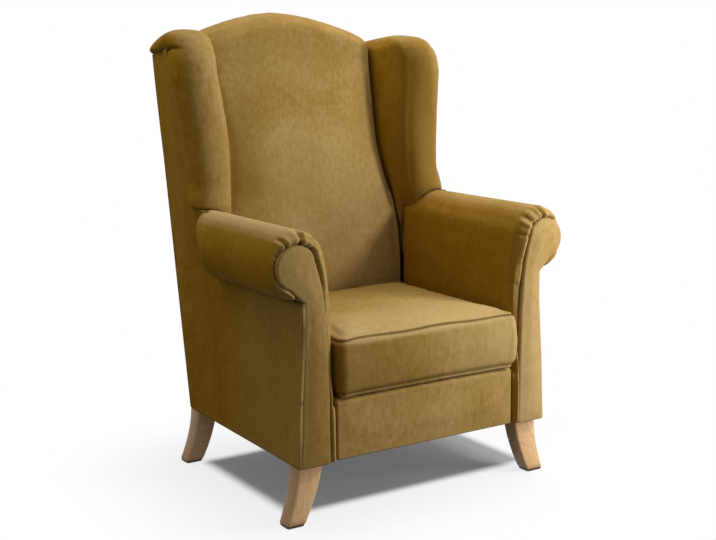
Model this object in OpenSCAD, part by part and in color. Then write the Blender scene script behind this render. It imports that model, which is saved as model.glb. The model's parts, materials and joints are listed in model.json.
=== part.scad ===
// Wingback fireside chair: a hardwood frame on four sabre legs, with a sprung seat, padded and
// covered all over, and a loose boxed seat cushion. Lengths are in millimetres.
// X runs across the chair, the front faces -Y, Z is up, and the origin is on the floor
// under the middle of the chair.

/* [Overall] */
// Width over the arm rolls
overall_w = 772; // [760:1:784]
// Depth from the front of the seat cushion to the back of the crest
overall_d = 732; // [716:1:748]
// Height of the crest in the middle of the back
crest_h = 1096; // [1080:1:1110]
// Height of the underside of the seat box
leg_h = 138; // [128:1:148]
// Lean of the rear face of the chair from upright, in degrees
rake = 9.6; // [9:0.1:10.2]
// Clearance between neighbouring pieces
fit_gap = 0.4; // [0.3:0.05:0.5]
// Clearance in the hidden creases between curved padding
crease_gap = 1.6; // [1.4:0.1:2]

/* [Seat box] */
// How far each arm roll overhangs the seat box
arm_overhang = 51; // [46:1:54]
// How much each side of the box draws in from its front corner to its rear corner
rear_draw = 13; // [10:1:16]
// How far each side of the box tapers in at the front, from its foot to the arm roll
box_taper = 16; // [12:1:18]
// Setback of the front of the arms from the front of the cushion
arm_setback = 13; // [9:1:17]
// Thickness of the outer panels, cloth over wadding and card
skin_t = 6; // [5:0.5:7]
// Height of the frame rails of the seat box
rail_h = 100; // [92:1:106]
// Thickness of the side and rear rails
rail_t = 25; // [22:1:27]
// Thickness of the padding on the front border
border_t = 18; // [16:1:20]
// Setback of the front border from the front of the arms
border_setback = 6; // [5:1:8]
// Height of the top of the front border
border_top = 272; // [270:0.5:273]

/* [Seat deck and springs] */
// Height of the top of the seat deck
deck_top = 273.4; // [273:0.1:275]
// Thickness of the seat deck, hessian under felt
deck_t = 17; // [15:0.5:17.5]
// Number of sinuous springs
spring_count = 4; // [3:1:5]
// Distance between the bars of one spring
loop_pitch = 34; // [32:0.5:38]
// Length of the straight part of each bar
bar_l = 26; // [22:1:30]
// Diameter of the spring wire
wire_d = 3.8; // [3.4:0.1:4]
// Rise of the springs in the middle of the seat
spring_crown = 8; // [6:0.5:9]
// Number of tie wires across the springs
tie_count = 2; // [1:1:3]

/* [Legs] */
// Width of a front leg under the seat box
front_leg_w = 60; // [54:1:62]
// Setback of a front leg from the outer side of the box
leg_inset = 12; // [9:1:14]
// Setback of a front leg from the front of the arms
leg_setback = 24; // [20:1:28]
// Depth of a front leg under the seat box
front_leg_d = 46; // [42:1:48]
// Width of a rear leg under the seat box
rear_leg_w = 52; // [46:1:54]
// Depth of a rear leg under the seat box
rear_leg_d = 42; // [38:1:44]
// Width of a foot
foot_w = 45; // [41:1:47]
// Depth of a foot
foot_d = 40; // [38:1:42]
// Outward sweep of a front leg
front_leg_sweep = 36; // [30:1:40]
// Outward sweep of a rear leg
rear_leg_sweep = 25; // [18:1:28]
// Backward sweep of a rear leg
rear_leg_kick = 26; // [20:1:30]
// Radius of the long edges of a leg
leg_edge_r = 5; // [3:0.5:7]
// Thickness of the glide under each foot
glide_t = 4; // [3:0.5:5]

/* [Arms] */
// Height of the top of the arm roll
arm_h = 644; // [636:1:650]
// Width of an arm, from its inner face to the outside of its roll
arm_w = 146; // [143:1:150]
// Drop of the arm roll from its top to its underside
roll_drop = 152; // [146:1:156]
// Thickness of the inner arm padding below the roll
arm_wall = 30; // [26:1:33]
// Thickness of the covered facing board
facing_t = 14; // [12:0.5:15]
// Thickness of the arm post behind the facing
post_t = 22; // [20:1:24]
// Radius of the scroll at the head of the facing
scroll_r = 46; // [44:0.5:48]

/* [Back] */
// Drop from the crest to the valley between the back and the wings
valley_drop = 82; // [76:1:88]
// Thickness of the back at the seat, from the face of its padding to its rear face
back_t = 115; // [110:1:120]
// Lean of the face of the back above the lumbar bend, in degrees
recline = 15; // [14.5:0.1:15.5]
// Height at which the lumbar bend starts
lumbar_start = 400; // [390:1:410]
// Height at which the lumbar bend ends
lumbar_end = 600; // [590:1:610]
// How far the back padding reaches behind each arm at the seat
back_tuck = 12; // [10:0.5:14]
// How far the middle of the back stands proud of its edges
back_crown = 14; // [10:0.5:14]
// Fall of the crest from its middle to the wings
crest_fall = 61; // [56:1:64]
// Thickness of the padding over the crest rail
hood_t = 26; // [24:1:28]
// Depth of the back posts
post_d = 44; // [42:1:46]
// Width of the back posts
post_w = 36; // [34:1:38]

/* [Wings] */
// Drop from the crest to the top of the wings
wing_drop = 48; // [45:1:52]
// Drop from the crest to where the top corner of a wing starts to round
shoulder_drop = 155; // [148:1:161]
// Radius of the padded front edge of a wing at the arm
wing_r_low = 43; // [41:0.5:44]
// Radius of the padded front edge of a wing at its shoulder
wing_r_high = 53; // [51:0.5:54]
// Distance of the wing's front edge inside the rear corner of the box, at the arm
wing_in = 26; // [25:0.5:28]
// Outward lean of the wing's front edge
wing_lean = 21; // [18:0.5:23]
// How far the wing's front edge stands in front of the back padding at the seat
wing_reach = 21; // [17:1:25]
// How much further back the wing's front edge is at its shoulder
wing_rake = 37; // [33:1:41]
// Thickness of the wing board
wing_board_t = 18; // [16:1:19]
// Height of the rolled cap along the top of a wing
cap_h = 38; // [35:1:42]
// Fall of the top of a wing from its front to its back
top_fall = 26; // [20:1:30]

/* [Seat cushion] */
// Height of the boxed side of the cushion, seam to seam
boxing_h = 126; // [120:1:132]
// Rise of the crown above the top seam
cushion_crown = 27; // [22:1:32]
// Thickness of the cushion cover
cover_t = 2; // [1.5:0.25:2.5]
// Corner radius of the cushion
cushion_corner_r = 22; // [18:1:28]

/* [Hidden] */

cloth = "#a8874a";
beech = "#d8b88a";
pine = "#c9a877";
steel = "#9a9da0";
black_cloth = "#2b2b2b";
felt = "#8c8c88";
foam = "#efe6b8";
web_black = "#3a3836";

$fn = 48;
// Overrun of every cut past the face that it opens
over = 1;
turn = 360;

// Half widths of the arms, the seat, the box and the back
arm_hw = overall_w / 2;
seat_hw = arm_hw - arm_w;
box_front_hw = arm_hw - arm_overhang;
box_rear_hw = box_front_hw - rear_draw;
back_hw = seat_hw + back_tuck;
wing_x_low = box_rear_hw - wing_in;

// Heights that follow the crest
valley_h = crest_h - valley_drop;
wing_h = crest_h - wing_drop;
wing_shoulder_h = crest_h - shoulder_drop;
cap_z = wing_h - cap_h;

// Planes of the seat box and the back
front_y = -overall_d / 2;
box_front_y = front_y + arm_setback;
// Height at which the crest reaches furthest back, and how far it is below the top
crest_back_drop = 21;
rear_y = overall_d / 2 - (crest_h - crest_back_drop - leg_h) * tan(rake);
border_y = box_front_y + border_setback;
facing_back_y = box_front_y + facing_t;
post_back_y = facing_back_y + fit_gap + post_t;
front_rail_y = border_y + border_t + fit_gap;
rail_top = leg_h + rail_h;
facing_in = 16;
facing_foot_in = seat_hw + facing_in;
face_y = rear_y + (deck_top - leg_h) * tan(rake) - back_t;
// Distances forward of the rear face: frame front, then behind the padding
frame_w = skin_t + fit_gap + post_d;
web_t = 2;
pad_w = frame_w + web_t + fit_gap;

function rear_at(z) = rear_y + (z - leg_h) * tan(rake);

// Sides of the box, which narrow towards the back and taper in at the front up to the arm rolls:
// each pair is a share of the height of the side and a share of the taper
roll_top_share = 0.513;
roll_top_r = roll_drop * roll_top_share;
roll_low_r = roll_drop - roll_top_r;
roll_z = arm_h - roll_top_r;
neck_z = roll_z - roll_low_r;
taper_shares = [[0, 0], [0.4, 0.38], [0.69, 0.81], [0.83, 1]];
function taper_z(pair) = leg_h + pair[0] * (neck_z - leg_h);
function side_at(y, z) =
  let (front = box_front_hw - box_taper * lookup((z - leg_h) / (neck_z - leg_h), taper_shares))
  front + (box_rear_hw - front) * min(1, (y - box_front_y) / (rear_y - box_front_y));
side_reach = box_front_hw + box_rear_hw;
function lined_at(y, z) = side_at(y, z) - skin_t - fit_gap;
function rail_x(y) = lined_at(y, rail_top);

// Face of the back at its edge: upright at the seat, bending back through the lumbar
function face_at(z) =
  let (bend = lumbar_end - lumbar_start, up = z - lumbar_start)
  face_y + tan(recline) * (up < 0 ? 0 : up < bend ? up * up / (2 * bend) : up - bend / 2);

// Half width of the back padding, as shares of its width at the seat
back_width_shares = [
  [0, 1], [0.37, 1.02], [0.45, 1.01], [0.52, 0.975], [0.57, 0.948],
  [0.66, 0.925], [0.77, 0.94], [0.87, 0.96], [1, 0.985]
];
function back_hw_at(z) =
  back_hw * lookup((z - deck_top) / (valley_h - deck_top), back_width_shares);

// Heights at which the back and the wings are shaped, so that their sides stay together
back_foot = deck_top + fit_gap;
level_shares = [0, 0.17, 0.24, 0.31, 0.37, 0.45, 0.52, 0.57, 0.66, 0.77, 0.87, 0.9, 0.96];
function level_z(share) = max(back_foot, deck_top + share * (valley_h - deck_top));

// Outline of the crest, which falls from its middle to the wings
crest_power = 1.65;
crest_hw = back_hw_at(valley_h);
function crest_at(x) = crest_h - crest_fall * pow(min(1, abs(x) / crest_hw), crest_power);

// Straight prisms along X of an outline in Y and Z, and along Y of one in X and Z
module along_x(x0, x1) {
  translate([x0, 0, 0])
    rotate([90, 0, 90])
      linear_extrude(x1 - x0)
        children();
}

module along_y(y0, y1) {
  translate([0, y1, 0])
    rotate([90, 0, 0])
      linear_extrude(y1 - y0)
        children();
}

// Leaning slab between two distances forward of the rear face
module leaning_slab(w0, w1, z0, z1, x0, x1) {
  along_x(x0, x1)
    polygon([
      [rear_at(z0) - w1, z0], [rear_at(z0) - w0, z0],
      [rear_at(z1) - w0, z1], [rear_at(z1) - w1, z1]
    ]);
}

module mirrored(side) {
  mirror([side < 0 ? 1 : 0, 0, 0])
    children();
}

// Skin over a stack of rings that each hold as many points. A fan closes each end, or, on a
// zipped stack, strips between the points that face each other across the ring.
function ring_middle(ring) =
  [for (k = [0:2]) let (values = [for (p = ring) p[k]]) (max(values) + min(values)) / 2];

module loft(rings, first_middle = undef, last_middle = undef, zipped = false) {
  n = len(rings[0]);
  m = len(rings);
  first = is_undef(first_middle) ? ring_middle(rings[0]) : first_middle;
  last = is_undef(last_middle) ? ring_middle(rings[m - 1]) : last_middle;
  points = concat([for (ring = rings) each ring], [first, last]);
  walls = [
    for (i = [0:m - 2], j = [0:n - 1])
      let (a = i * n + j, b = i * n + (j + 1) % n)
        each [[a, a + n, b + n], [a, b + n, b]]
  ];
  ends = [
    for (j = [0:n - 1])
      let (k = (j + 1) % n)
        each [[m * n, j, k], [m * n + 1, (m - 1) * n + k, (m - 1) * n + j]]
  ];
  strips = [
    for (j = [0:1:n / 2 - 2])
      let (k = n - 1 - j, top = (m - 1) * n)
        each [
          [j, j + 1, k - 1], [j, k - 1, k],
          [top + j, top + k, top + k - 1], [top + j, top + k - 1, top + j + 1]
        ]
  ];
  polyhedron(
    zipped ? [for (ring = rings) each ring] : points,
    concat(walls, zipped ? strips : ends));
}

function reversed(list) = [for (i = [len(list) - 1:-1:0]) list[i]];

// Plan of a rectangle with round corners, anticlockwise, with middle points on its sides
corner_steps = 3;
side_shares = [-0.25, 0, 0.25];
function round_plan(hx, hy, r, draw = 0) =
  let (rr = min(r, hx, hy))
  [
    for (q = [0:3])
      let (
        sx = (q == 0 || q == 3) ? 1 : -1,
        sy = q < 2 ? 1 : -1,
        corner = [
          for (i = [0:corner_steps])
            let (a = q * 90 + i * 90 / corner_steps)
              [sx * (hx - rr) + rr * cos(a), sy * (hy - rr) + rr * sin(a)]
        ],
        across = q % 2 == 0,
        edge = [
          for (s = side_shares)
            let (pull = draw * (1 - 4 * s * s))
              across
                ? [-sx * s * 2 * (hx - rr), sy * (hy - pull)]
                : [sx * (hx - pull), -sy * s * 2 * (hy - rr)]
        ]
      )
        each concat(corner, edge)
  ];

// Legs: rounded rectangles swept along a curve that kicks out towards the foot
leg_sections = 9;
leg_curve = 1.65;
front_leg_x = box_front_hw - leg_inset - front_leg_w / 2;
front_leg_y = box_front_y + leg_setback + front_leg_d / 2;
rear_leg_x = box_rear_hw - fit_gap - rear_leg_w / 2;
rear_leg_y = rear_y - rear_leg_d / 2;
bolt_r = 4;
bolt_clear = 0.3;
bolt_inset = 16;
bolt_depth = 60;
block_h = 45;
block_l = 62;
washer_r = 11;
washer_t = 2;
nut_r = 7.5;
nut_t = 6.5;
nut_sides = 6;

function leg_place(side, rear) =
  [side * (rear ? rear_leg_x : front_leg_x), rear ? rear_leg_y : front_leg_y];
function bolt_place(side, rear) =
  rear
    ? [side * (post_in_x + post_w / 2), rear_y - skin_t - fit_gap - post_d / 2]
    : [side * (front_leg_x - front_leg_w / 2 + bolt_inset), block_y + washer_r + fit_gap];

module leg(side, rear) {
  top_w = rear ? rear_leg_w : front_leg_w;
  top_d = rear ? rear_leg_d : front_leg_d;
  sweep = rear ? rear_leg_sweep : front_leg_sweep;
  kick = rear ? rear_leg_kick : 0;
  place = leg_place(side, rear);
  bolt = bolt_place(side, rear);
  color(beech)
    difference() {
      loft([
        for (i = [0:leg_sections - 1])
          let (
            t = 1 - i / (leg_sections - 1),
            out = pow(t, leg_curve),
            z = glide_t + (leg_h - glide_t) * (1 - t)
          )
            [
              for (p = round_plan(
                (top_w + (foot_w - top_w) * t) / 2, (top_d + (foot_d - top_d) * t) / 2, leg_edge_r))
                [place[0] + side * sweep * out + p[0], place[1] + kick * out + p[1], z]
            ]
      ]);
      translate([bolt[0], bolt[1], leg_h - bolt_depth - fit_gap])
        cylinder(h = bolt_depth + fit_gap + over, r = bolt_r + bolt_clear);
    }
}

module each_corner() {
  for (side = [-1, 1], rear = [false, true])
    let ($side = side, $rear = rear)
      children();
}

// Front bolts pass up through their corner blocks; rear ones are screwed into the back posts
module leg_bolts() {
  color(steel)
    each_corner()
      let (b = bolt_place($side, $rear))
        translate([b[0], b[1], leg_h - bolt_depth])
          cylinder(
            h = bolt_depth + ($rear ? bolt_depth : block_h + washer_t + nut_t + bolt_r),
            r = bolt_r);
}

module front_bolts() {
  for (side = [-1, 1])
    let (b = bolt_place(side, false))
      translate([b[0], b[1], leg_h + block_h])
        children();
}

module ring_at(r_out, r_in, h, sides = $fn) {
  difference() {
    cylinder(h = h, r = r_out, $fn = sides);
    translate([0, 0, -over])
      cylinder(h = h + 2 * over, r = r_in);
  }
}

module leg_washers() {
  color(steel)
    front_bolts()
      ring_at(washer_r, bolt_r + bolt_clear, washer_t);
}

module leg_nuts() {
  color(steel)
    front_bolts()
      translate([0, 0, washer_t])
        ring_at(nut_r, bolt_r + bolt_clear / 2, nut_t, nut_sides);
}

// Each glide is a low pad with bevelled edges under a foot
glide_inset = 2.5;
module leg_glides() {
  color(web_black)
    each_corner()
      let (
        p = leg_place($side, $rear),
        x = p[0] + $side * ($rear ? rear_leg_sweep : front_leg_sweep),
        y = p[1] + ($rear ? rear_leg_kick : 0)
      )
        loft([
          for (lift = [0, glide_inset, glide_t])
            let (inset = lift == 0 ? glide_inset : glide_inset / 2)
              [
                for (q = round_plan(foot_w / 2 - inset, foot_d / 2 - inset, leg_edge_r))
                  [x + q[0], y + q[1], lift]
              ]
        ]);
}

// Seat box
module seat_side(side) {
  color(pine)
    mirrored(side)
      difference() {
        translate([0, 0, leg_h])
          linear_extrude(rail_h)
            polygon([
              [rail_x(post_back_y), post_back_y], [rail_x(rear_y), rear_y],
              [rail_x(rear_y) - rail_t, rear_y], [rail_x(post_back_y) - rail_t, post_back_y]
            ]);
        leaning_slab(-over, frame_w, leg_h - over, rail_top + over, 0, side_reach);
      }
}

front_rail_hw = facing_foot_in;
module front_rail() {
  color(pine)
    difference() {
      translate([-front_rail_hw, front_rail_y, leg_h])
        cube([2 * front_rail_hw, rail_t, rail_h]);
      dowels(bolt_clear / 2);
    }
}

post_in_x = box_rear_hw - skin_t - fit_gap - post_w;
module rear_rail() {
  color(pine)
    difference() {
      leaning_slab(skin_t + fit_gap, skin_t + fit_gap + rail_t, leg_h, rail_top, -post_in_x, post_in_x);
      dowels(bolt_clear / 2);
    }
}

block_lap_share = 0.1;
block_nose_share = 0.4;
block_width_share = 0.75;
block_reach_share = 0.35;
block_w = block_l * block_width_share;
block_reach = block_l * block_reach_share;
block_x = front_rail_hw - block_l * block_lap_share;
block_y = front_rail_y + rail_t;
module corner_blocks() {
  color(pine)
    difference() {
      for (side = [-1, 1])
        mirrored(side) {
          translate([0, 0, leg_h])
            linear_extrude(block_h)
              polygon([
                [block_x, block_y],
                [rail_x(block_y) - rail_t - fit_gap, block_y],
                [rail_x(block_y + block_l) - rail_t - fit_gap, block_y + block_l],
                [block_x, block_y + block_l * block_nose_share]
              ]);
          difference() {
            translate([post_in_x - block_w, rear_y - frame_w - block_reach, leg_h])
              cube([block_w, block_reach + frame_w, block_h]);
            leaning_slab(
              -over, skin_t + 2 * fit_gap + rail_t, leg_h - over, rail_top, 0, side_reach);
          }
        }
      for (side = [-1, 1])
        let (b = bolt_place(side, false))
          translate([b[0], b[1], leg_h - over])
            cylinder(h = block_h + 2 * over, r = bolt_r + bolt_clear);
    }
}

// Dowels of the frame joints: each is a place and the axis that it lies along
dowel_r = 4;
dowel_l = 50;
dowel_share = 0.28;
function dowel_places() =
  [
    for (side = [-1, 1], up = [dowel_share, 1 - dowel_share]) each [
      [side * front_rail_hw, (front_rail_y + post_back_y) / 2, leg_h + rail_h * up],
      [side * post_in_x, rear_at(leg_h + rail_h * up) - skin_t - rail_t / 2, leg_h + rail_h * up],
      [side * post_in_x, lumbar_y(lumbar_rail_z + lumbar_rail_h * up), lumbar_rail_z + lumbar_rail_h * up],
      [side * post_in_x, lumbar_y(crest_rail_z + crest_joint_h * up), crest_rail_z + crest_joint_h * up]
    ]
  ];
module dowels(grow) {
  for (p = dowel_places())
    translate([p[0] - dowel_l / 2 - grow, p[1], p[2]])
      rotate([0, 90, 0])
        cylinder(h = dowel_l + 2 * grow, r = dowel_r + grow);
}

module frame_dowels() {
  color(beech)
    dowels(0);
}

// Back frame
back_rail_t = 22;
lumbar_lift_share = 0.24;
lumbar_rail_z = rail_top + lumbar_lift_share * rail_h;
lumbar_rail_h = 50;
post_top = cap_z - top_fall - fit_gap;
crest_joint_h = 36;
crest_joint_share = 1.5;
crest_rail_z = post_top - crest_joint_h * crest_joint_share;
function lumbar_y(z) = rear_at(z) - skin_t - fit_gap - back_rail_t / 2;

module back_post(side) {
  color(pine)
    mirrored(side)
      difference() {
        leaning_slab(
          skin_t + fit_gap, frame_w, leg_h, post_top,
          post_in_x, post_in_x + post_w);
        dowels(bolt_clear / 2);
        translate([bolt_place(1, true)[0], bolt_place(1, true)[1], leg_h - over])
          cylinder(h = bolt_depth + fit_gap + over, r = bolt_r + bolt_clear);
      }
}

module lumbar_rail() {
  color(pine)
    difference() {
      leaning_slab(
        skin_t + fit_gap, skin_t + fit_gap + back_rail_t,
        lumbar_rail_z, lumbar_rail_z + lumbar_rail_h, -post_in_x, post_in_x);
      dowels(bolt_clear / 2);
    }
}

// Outline of what lies behind the back padding: the crest's curve between two shoulders
crest_steps = 16;
module crest_outline(hw, shoulder_hw, bottom) {
  polygon(concat(
    [
      for (i = [0:crest_steps])
        let (x = hw * (2 * i / crest_steps - 1))
          [x, crest_at(x) - hood_t - crease_gap]
    ],
    [
      [hw, post_top], [shoulder_hw, post_top], [shoulder_hw, bottom],
      [-shoulder_hw, bottom], [-shoulder_hw, post_top], [-hw, post_top]
    ]
  ));
}

module crest_rail() {
  color(pine)
    difference() {
      intersection() {
        along_y(0, overall_d)
          crest_outline(crest_hw - crease_gap, post_in_x, crest_rail_z);
        leaning_slab(
          skin_t + fit_gap, skin_t + fit_gap + back_rail_t,
          crest_rail_z - over, crest_h, -post_in_x, post_in_x);
      }
      dowels(bolt_clear / 2);
    }
}

module outer_back() {
  color(cloth)
    intersection() {
      along_y(0, overall_d)
        crest_outline(crest_hw, box_rear_hw, leg_h);
      leaning_slab(0, skin_t, leg_h, crest_h, -box_rear_hw, box_rear_hw);
    }
}

web_shares = [0.14, 0.3, 0.46, 0.62, 0.78];
web_h = 50;
web_bearing = 5.5;
module back_webbing() {
  color(web_black)
    for (share = web_shares)
      let (
        foot = lumbar_rail_z + lumbar_rail_h,
        z = foot + share * (crest_rail_z - foot),
        hw = post_in_x + web_bearing
      )
        leaning_slab(frame_w, frame_w + web_t, z, z + web_h, -hw, hw);
}

// Arms
roll_half_share = 0.45;
roll_inner_share = 1.045;
roll_rx = (arm_hw - seat_hw) * roll_half_share;
roll_x = arm_hw - roll_rx;
roll_in_rx = roll_rx * roll_inner_share;
arm_foot = deck_top - deck_t;
arm_length_share = 0.845;
arm_end_y = box_front_y + (face_y - box_front_y) * arm_length_share;
arm_round = 55;
arm_lip = 13;
arm_flare = roll_x - roll_in_rx - seat_hw;
inner_power = 6;
neck_x = lined_at(box_front_y, neck_z) - fit_gap;

function arm_inner_x(z) =
  seat_hw + arm_flare * pow(max(0, (z - arm_foot) / (roll_z - arm_foot)), inner_power);

// Section of the arm, anticlockwise from the front: neck, roll, then the inner face to its foot
roll_step = 15;
roll_end = 165;
inner_shares = [0.9, 0.78, 0.55, 0];
function arm_section(inset, foot) = concat(
  [
    for (a = [-90:roll_step:roll_end])
      [
        roll_x + ((cos(a) > 0 ? roll_rx : roll_in_rx) - inset) * cos(a),
        roll_z + ((sin(a) > 0 ? roll_top_r : roll_low_r) - inset) * sin(a)
      ]
  ],
  [for (s = inner_shares) let (z = foot + s * (roll_z - foot)) [arm_inner_x(z) + inset, z]],
  [[neck_x, foot], [neck_x, neck_z]]
);

// Places of the arm's rings along its depth: share of the rounded lip in front, and the end
lip_shares = [[0, 1], [0.25, 0.42], [0.6, 0.1], [1, 0]];
lip_start = 3;
end_shares = [0, 0.4, 0.7, 0.9, 1];
function arm_ring(y, inset, keep) =
  [
    for (p = reversed(arm_section(inset, arm_foot)))
      let (limit = lined_at(y, neck_z), x = p[0] > limit ? limit + (p[0] - limit) * keep : p[0])
        [x, y, p[1]]
  ];

// The crown of the back stands proud at the arm, so the arm stops short of it by this much
arm_meets_share = 0.93;
crown_power = 4;
arm_back_gap = crease_gap + back_crown * (1 - pow(arm_meets_share, crown_power)) + fit_gap;
fan_in_share = 0.4;
fan_low_share = 0.7;
module arm_form() {
  lip_y = box_front_y + lip_start;
  fan_x = roll_x - roll_rx * fan_in_share;
  fan_z = roll_z - roll_low_r * fan_low_share;
  last = [
    for (p = arm_ring(face_at(roll_z), 0, 0))
      [p[0], face_at(min(p[2], roll_z)) - arm_back_gap, p[2]]
  ];
  loft(concat(
    [for (s = lip_shares) arm_ring(lip_y + s[0] * arm_lip * 2, s[1] * arm_lip, 1)],
    [for (s = end_shares)
      arm_ring(arm_end_y - arm_round + s * arm_round, 0, sqrt(1 - s * s))],
    [last]
  ),
  [fan_x, lip_y, fan_z],
  [fan_x, face_at(fan_z) - arm_back_gap, fan_z]);
}

// The facing and the post behind it share one outline: a straight foot under a scroll head
scroll_out_share = 0.15;
scroll_up_share = 0.1;
scroll_x = roll_x + roll_rx * scroll_out_share;
facing_side_shares = [[0.93, 0.29], [0.87, 0.2], [0.76, 0.13], [0.62, 0.07], [0.3, 0.02]];
scroll_step = 12;
scroll_start = -72;
scroll_end = 150;
module facing_outline(inset) {
  polygon(concat(
    [for (a = [scroll_start:scroll_step:scroll_end])
      [scroll_x + (scroll_r - inset) * cos(a), roll_z + (scroll_r - inset) * sin(a)]],
    [for (s = facing_side_shares)
      let (rise = roll_z + scroll_r * scroll_up_share - leg_h)
        [facing_foot_in + s[1] * (scroll_x - facing_foot_in) + inset, leg_h + s[0] * rise]],
    [[facing_foot_in + inset, leg_h]],
    [for (pair = concat(taper_shares, [[1, 1]]))
      [lined_at(post_back_y, taper_z(pair)) - inset, taper_z(pair)]]
  ));
}

module arm_facing(side) {
  color(cloth)
    mirrored(side)
      along_y(box_front_y, facing_back_y)
        facing_outline(fit_gap);
}

module arm_post(side) {
  color(pine)
    mirrored(side)
      difference() {
        along_y(facing_back_y + fit_gap, post_back_y)
          facing_outline(fit_gap * 2);
        dowels(bolt_clear / 2);
      }
}

arm_rail_h = 64;
arm_rail_w = 30;
arm_rail_drop_share = 0.7;
arm_rail_z = roll_z - arm_rail_h * arm_rail_drop_share;
arm_rail_x = post_in_x + post_w - arm_rail_w;
module arm_rail_form(grow) {
  difference() {
    translate([arm_rail_x - grow, post_back_y, arm_rail_z - grow])
      cube([arm_rail_w + 2 * grow, overall_d / 2 + rear_y, arm_rail_h + 2 * grow]);
    leaning_slab(
      -overall_d, frame_w, arm_rail_z - arm_rail_h, arm_rail_z + 2 * arm_rail_h,
      0, side_reach);
  }
}

module arm_rail(side) {
  color(pine)
    mirrored(side)
      arm_rail_form(0);
}

slat_w = 74;
slat_t = 18;
slat_end = 25;
module arm_slat_form(grow) {
  translate([arm_rail_x - grow, post_back_y, arm_rail_z + arm_rail_h])
    cube([slat_w + 2 * grow, arm_end_y - arm_round - slat_end - post_back_y + grow, slat_t + grow]);
}

module arm_slat(side) {
  color(pine)
    mirrored(side)
      arm_slat_form(0);
}

hollow_drop_share = 0.4;
module arm_pad(side) {
  hollow_top = neck_z - arm_wall * hollow_drop_share;
  color(cloth)
    mirrored(side)
      difference() {
        union() {
          arm_form();
          translate([seat_hw, box_front_y + lip_start + over, leg_h])
            cube([
              facing_in - fit_gap, front_rail_y - fit_gap - box_front_y - lip_start - over,
              arm_foot + over - leg_h
            ]);
        }
        translate([seat_hw + arm_wall, post_back_y, arm_foot - over])
          cube([side_reach, overall_d, hollow_top - arm_foot + over]);
        along_y(box_front_y - over, post_back_y + fit_gap)
          facing_outline(0);
        arm_rail_form(fit_gap);
        arm_slat_form(fit_gap);
      }
}

// Outer sides: thin panels that follow the box, pass behind the arm and flare out with the wing
flare_start = 500;
side_stations = 7;
function wing_share(z) = (z - arm_h) / (wing_shoulder_h - arm_h);
function wing_corner(z) = max(0, (z - wing_shoulder_h) / (wing_h - wing_shoulder_h));
lean_power = 1.6;
rake_power = 0.8;
corner_round = 110;
corner_tuck = 18;
function wing_x(z) =
  let (s = min(1, max(0, wing_share(z))))
  wing_x_low + wing_lean * pow(s, lean_power) - corner_tuck * pow(min(1, wing_corner(z)), 3);
function wing_y(z) =
  let (s = min(1, max(0, wing_share(z))), c = min(1, wing_corner(z)))
  face_y - wing_reach + wing_rake * pow(s, rake_power) + corner_round * (1 - sqrt(1 - c * c));
function wing_r(z) = wing_r_low + (wing_r_high - wing_r_low) * min(1, max(0, wing_share(z)));

flare_power = 1.2;
function outer_at(y, z) =
  let (
    shoulder = wing_shoulder_h,
    held_z = min(z, shoulder),
    rise = max(0, (held_z - flare_start) / (shoulder - flare_start)),
    reach = wing_x(shoulder) + wing_r(shoulder) - side_at(wing_y(shoulder), shoulder),
    s = min(1, max(0, (rear_at(z) - y) / (rear_at(z) - wing_y(held_z))))
  )
  side_at(y, z) + reach * rise * pow(s, flare_power);

seam_back = 46;
// Fall of a place near the top of the wing, from nothing at its front edge to the full fall behind
fall_start = wing_shoulder_h - cap_h;
function fall_at(y, z) =
  top_fall * min(1, max(0, (z - fall_start) / (cap_z - fall_start)))
  * min(1, max(0, (y - wing_y(z)) / (rear_at(z) - wing_y(z))));

// A point moved down by that fall, along the lean of the rear face
function lowered(p, z) =
  let (fall = fall_at(p[1], z))
  [p[0], p[1] - fall * tan(rake), p[2] - fall];

function side_ring(z, y0) =
  let (
    y1 = rear_at(z) - skin_t - fit_gap,
    ys = [for (i = [0:side_stations - 1]) y0 + (y1 - y0) * i / (side_stations - 1)]
  )
  concat(
    [for (y = ys) lowered([outer_at(y, z), y, z], z)],
    reversed([for (y = ys) lowered([outer_at(y, z) - skin_t, y, z], z)])
  );

module outer_side(side) {
  head = neck_z - fit_gap;
  below = arm_h - 3 * over;
  above = arm_h - 2 * over;
  color(cloth)
    mirrored(side)
      loft(concat(
        [for (pair = taper_shares) side_ring(taper_z(pair), box_front_y)],
        [side_ring(head - over, box_front_y)],
        [for (z = [head, (head + below) / 2, below]) side_ring(z, arm_end_y + 2 * fit_gap)],
        [side_ring(above, wing_y(above) + seam_back)],
        [for (z = wing_levels) if (z > above + over) side_ring(z - crease_gap / 2, wing_y(z) + seam_back)]
      ));
}

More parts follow.
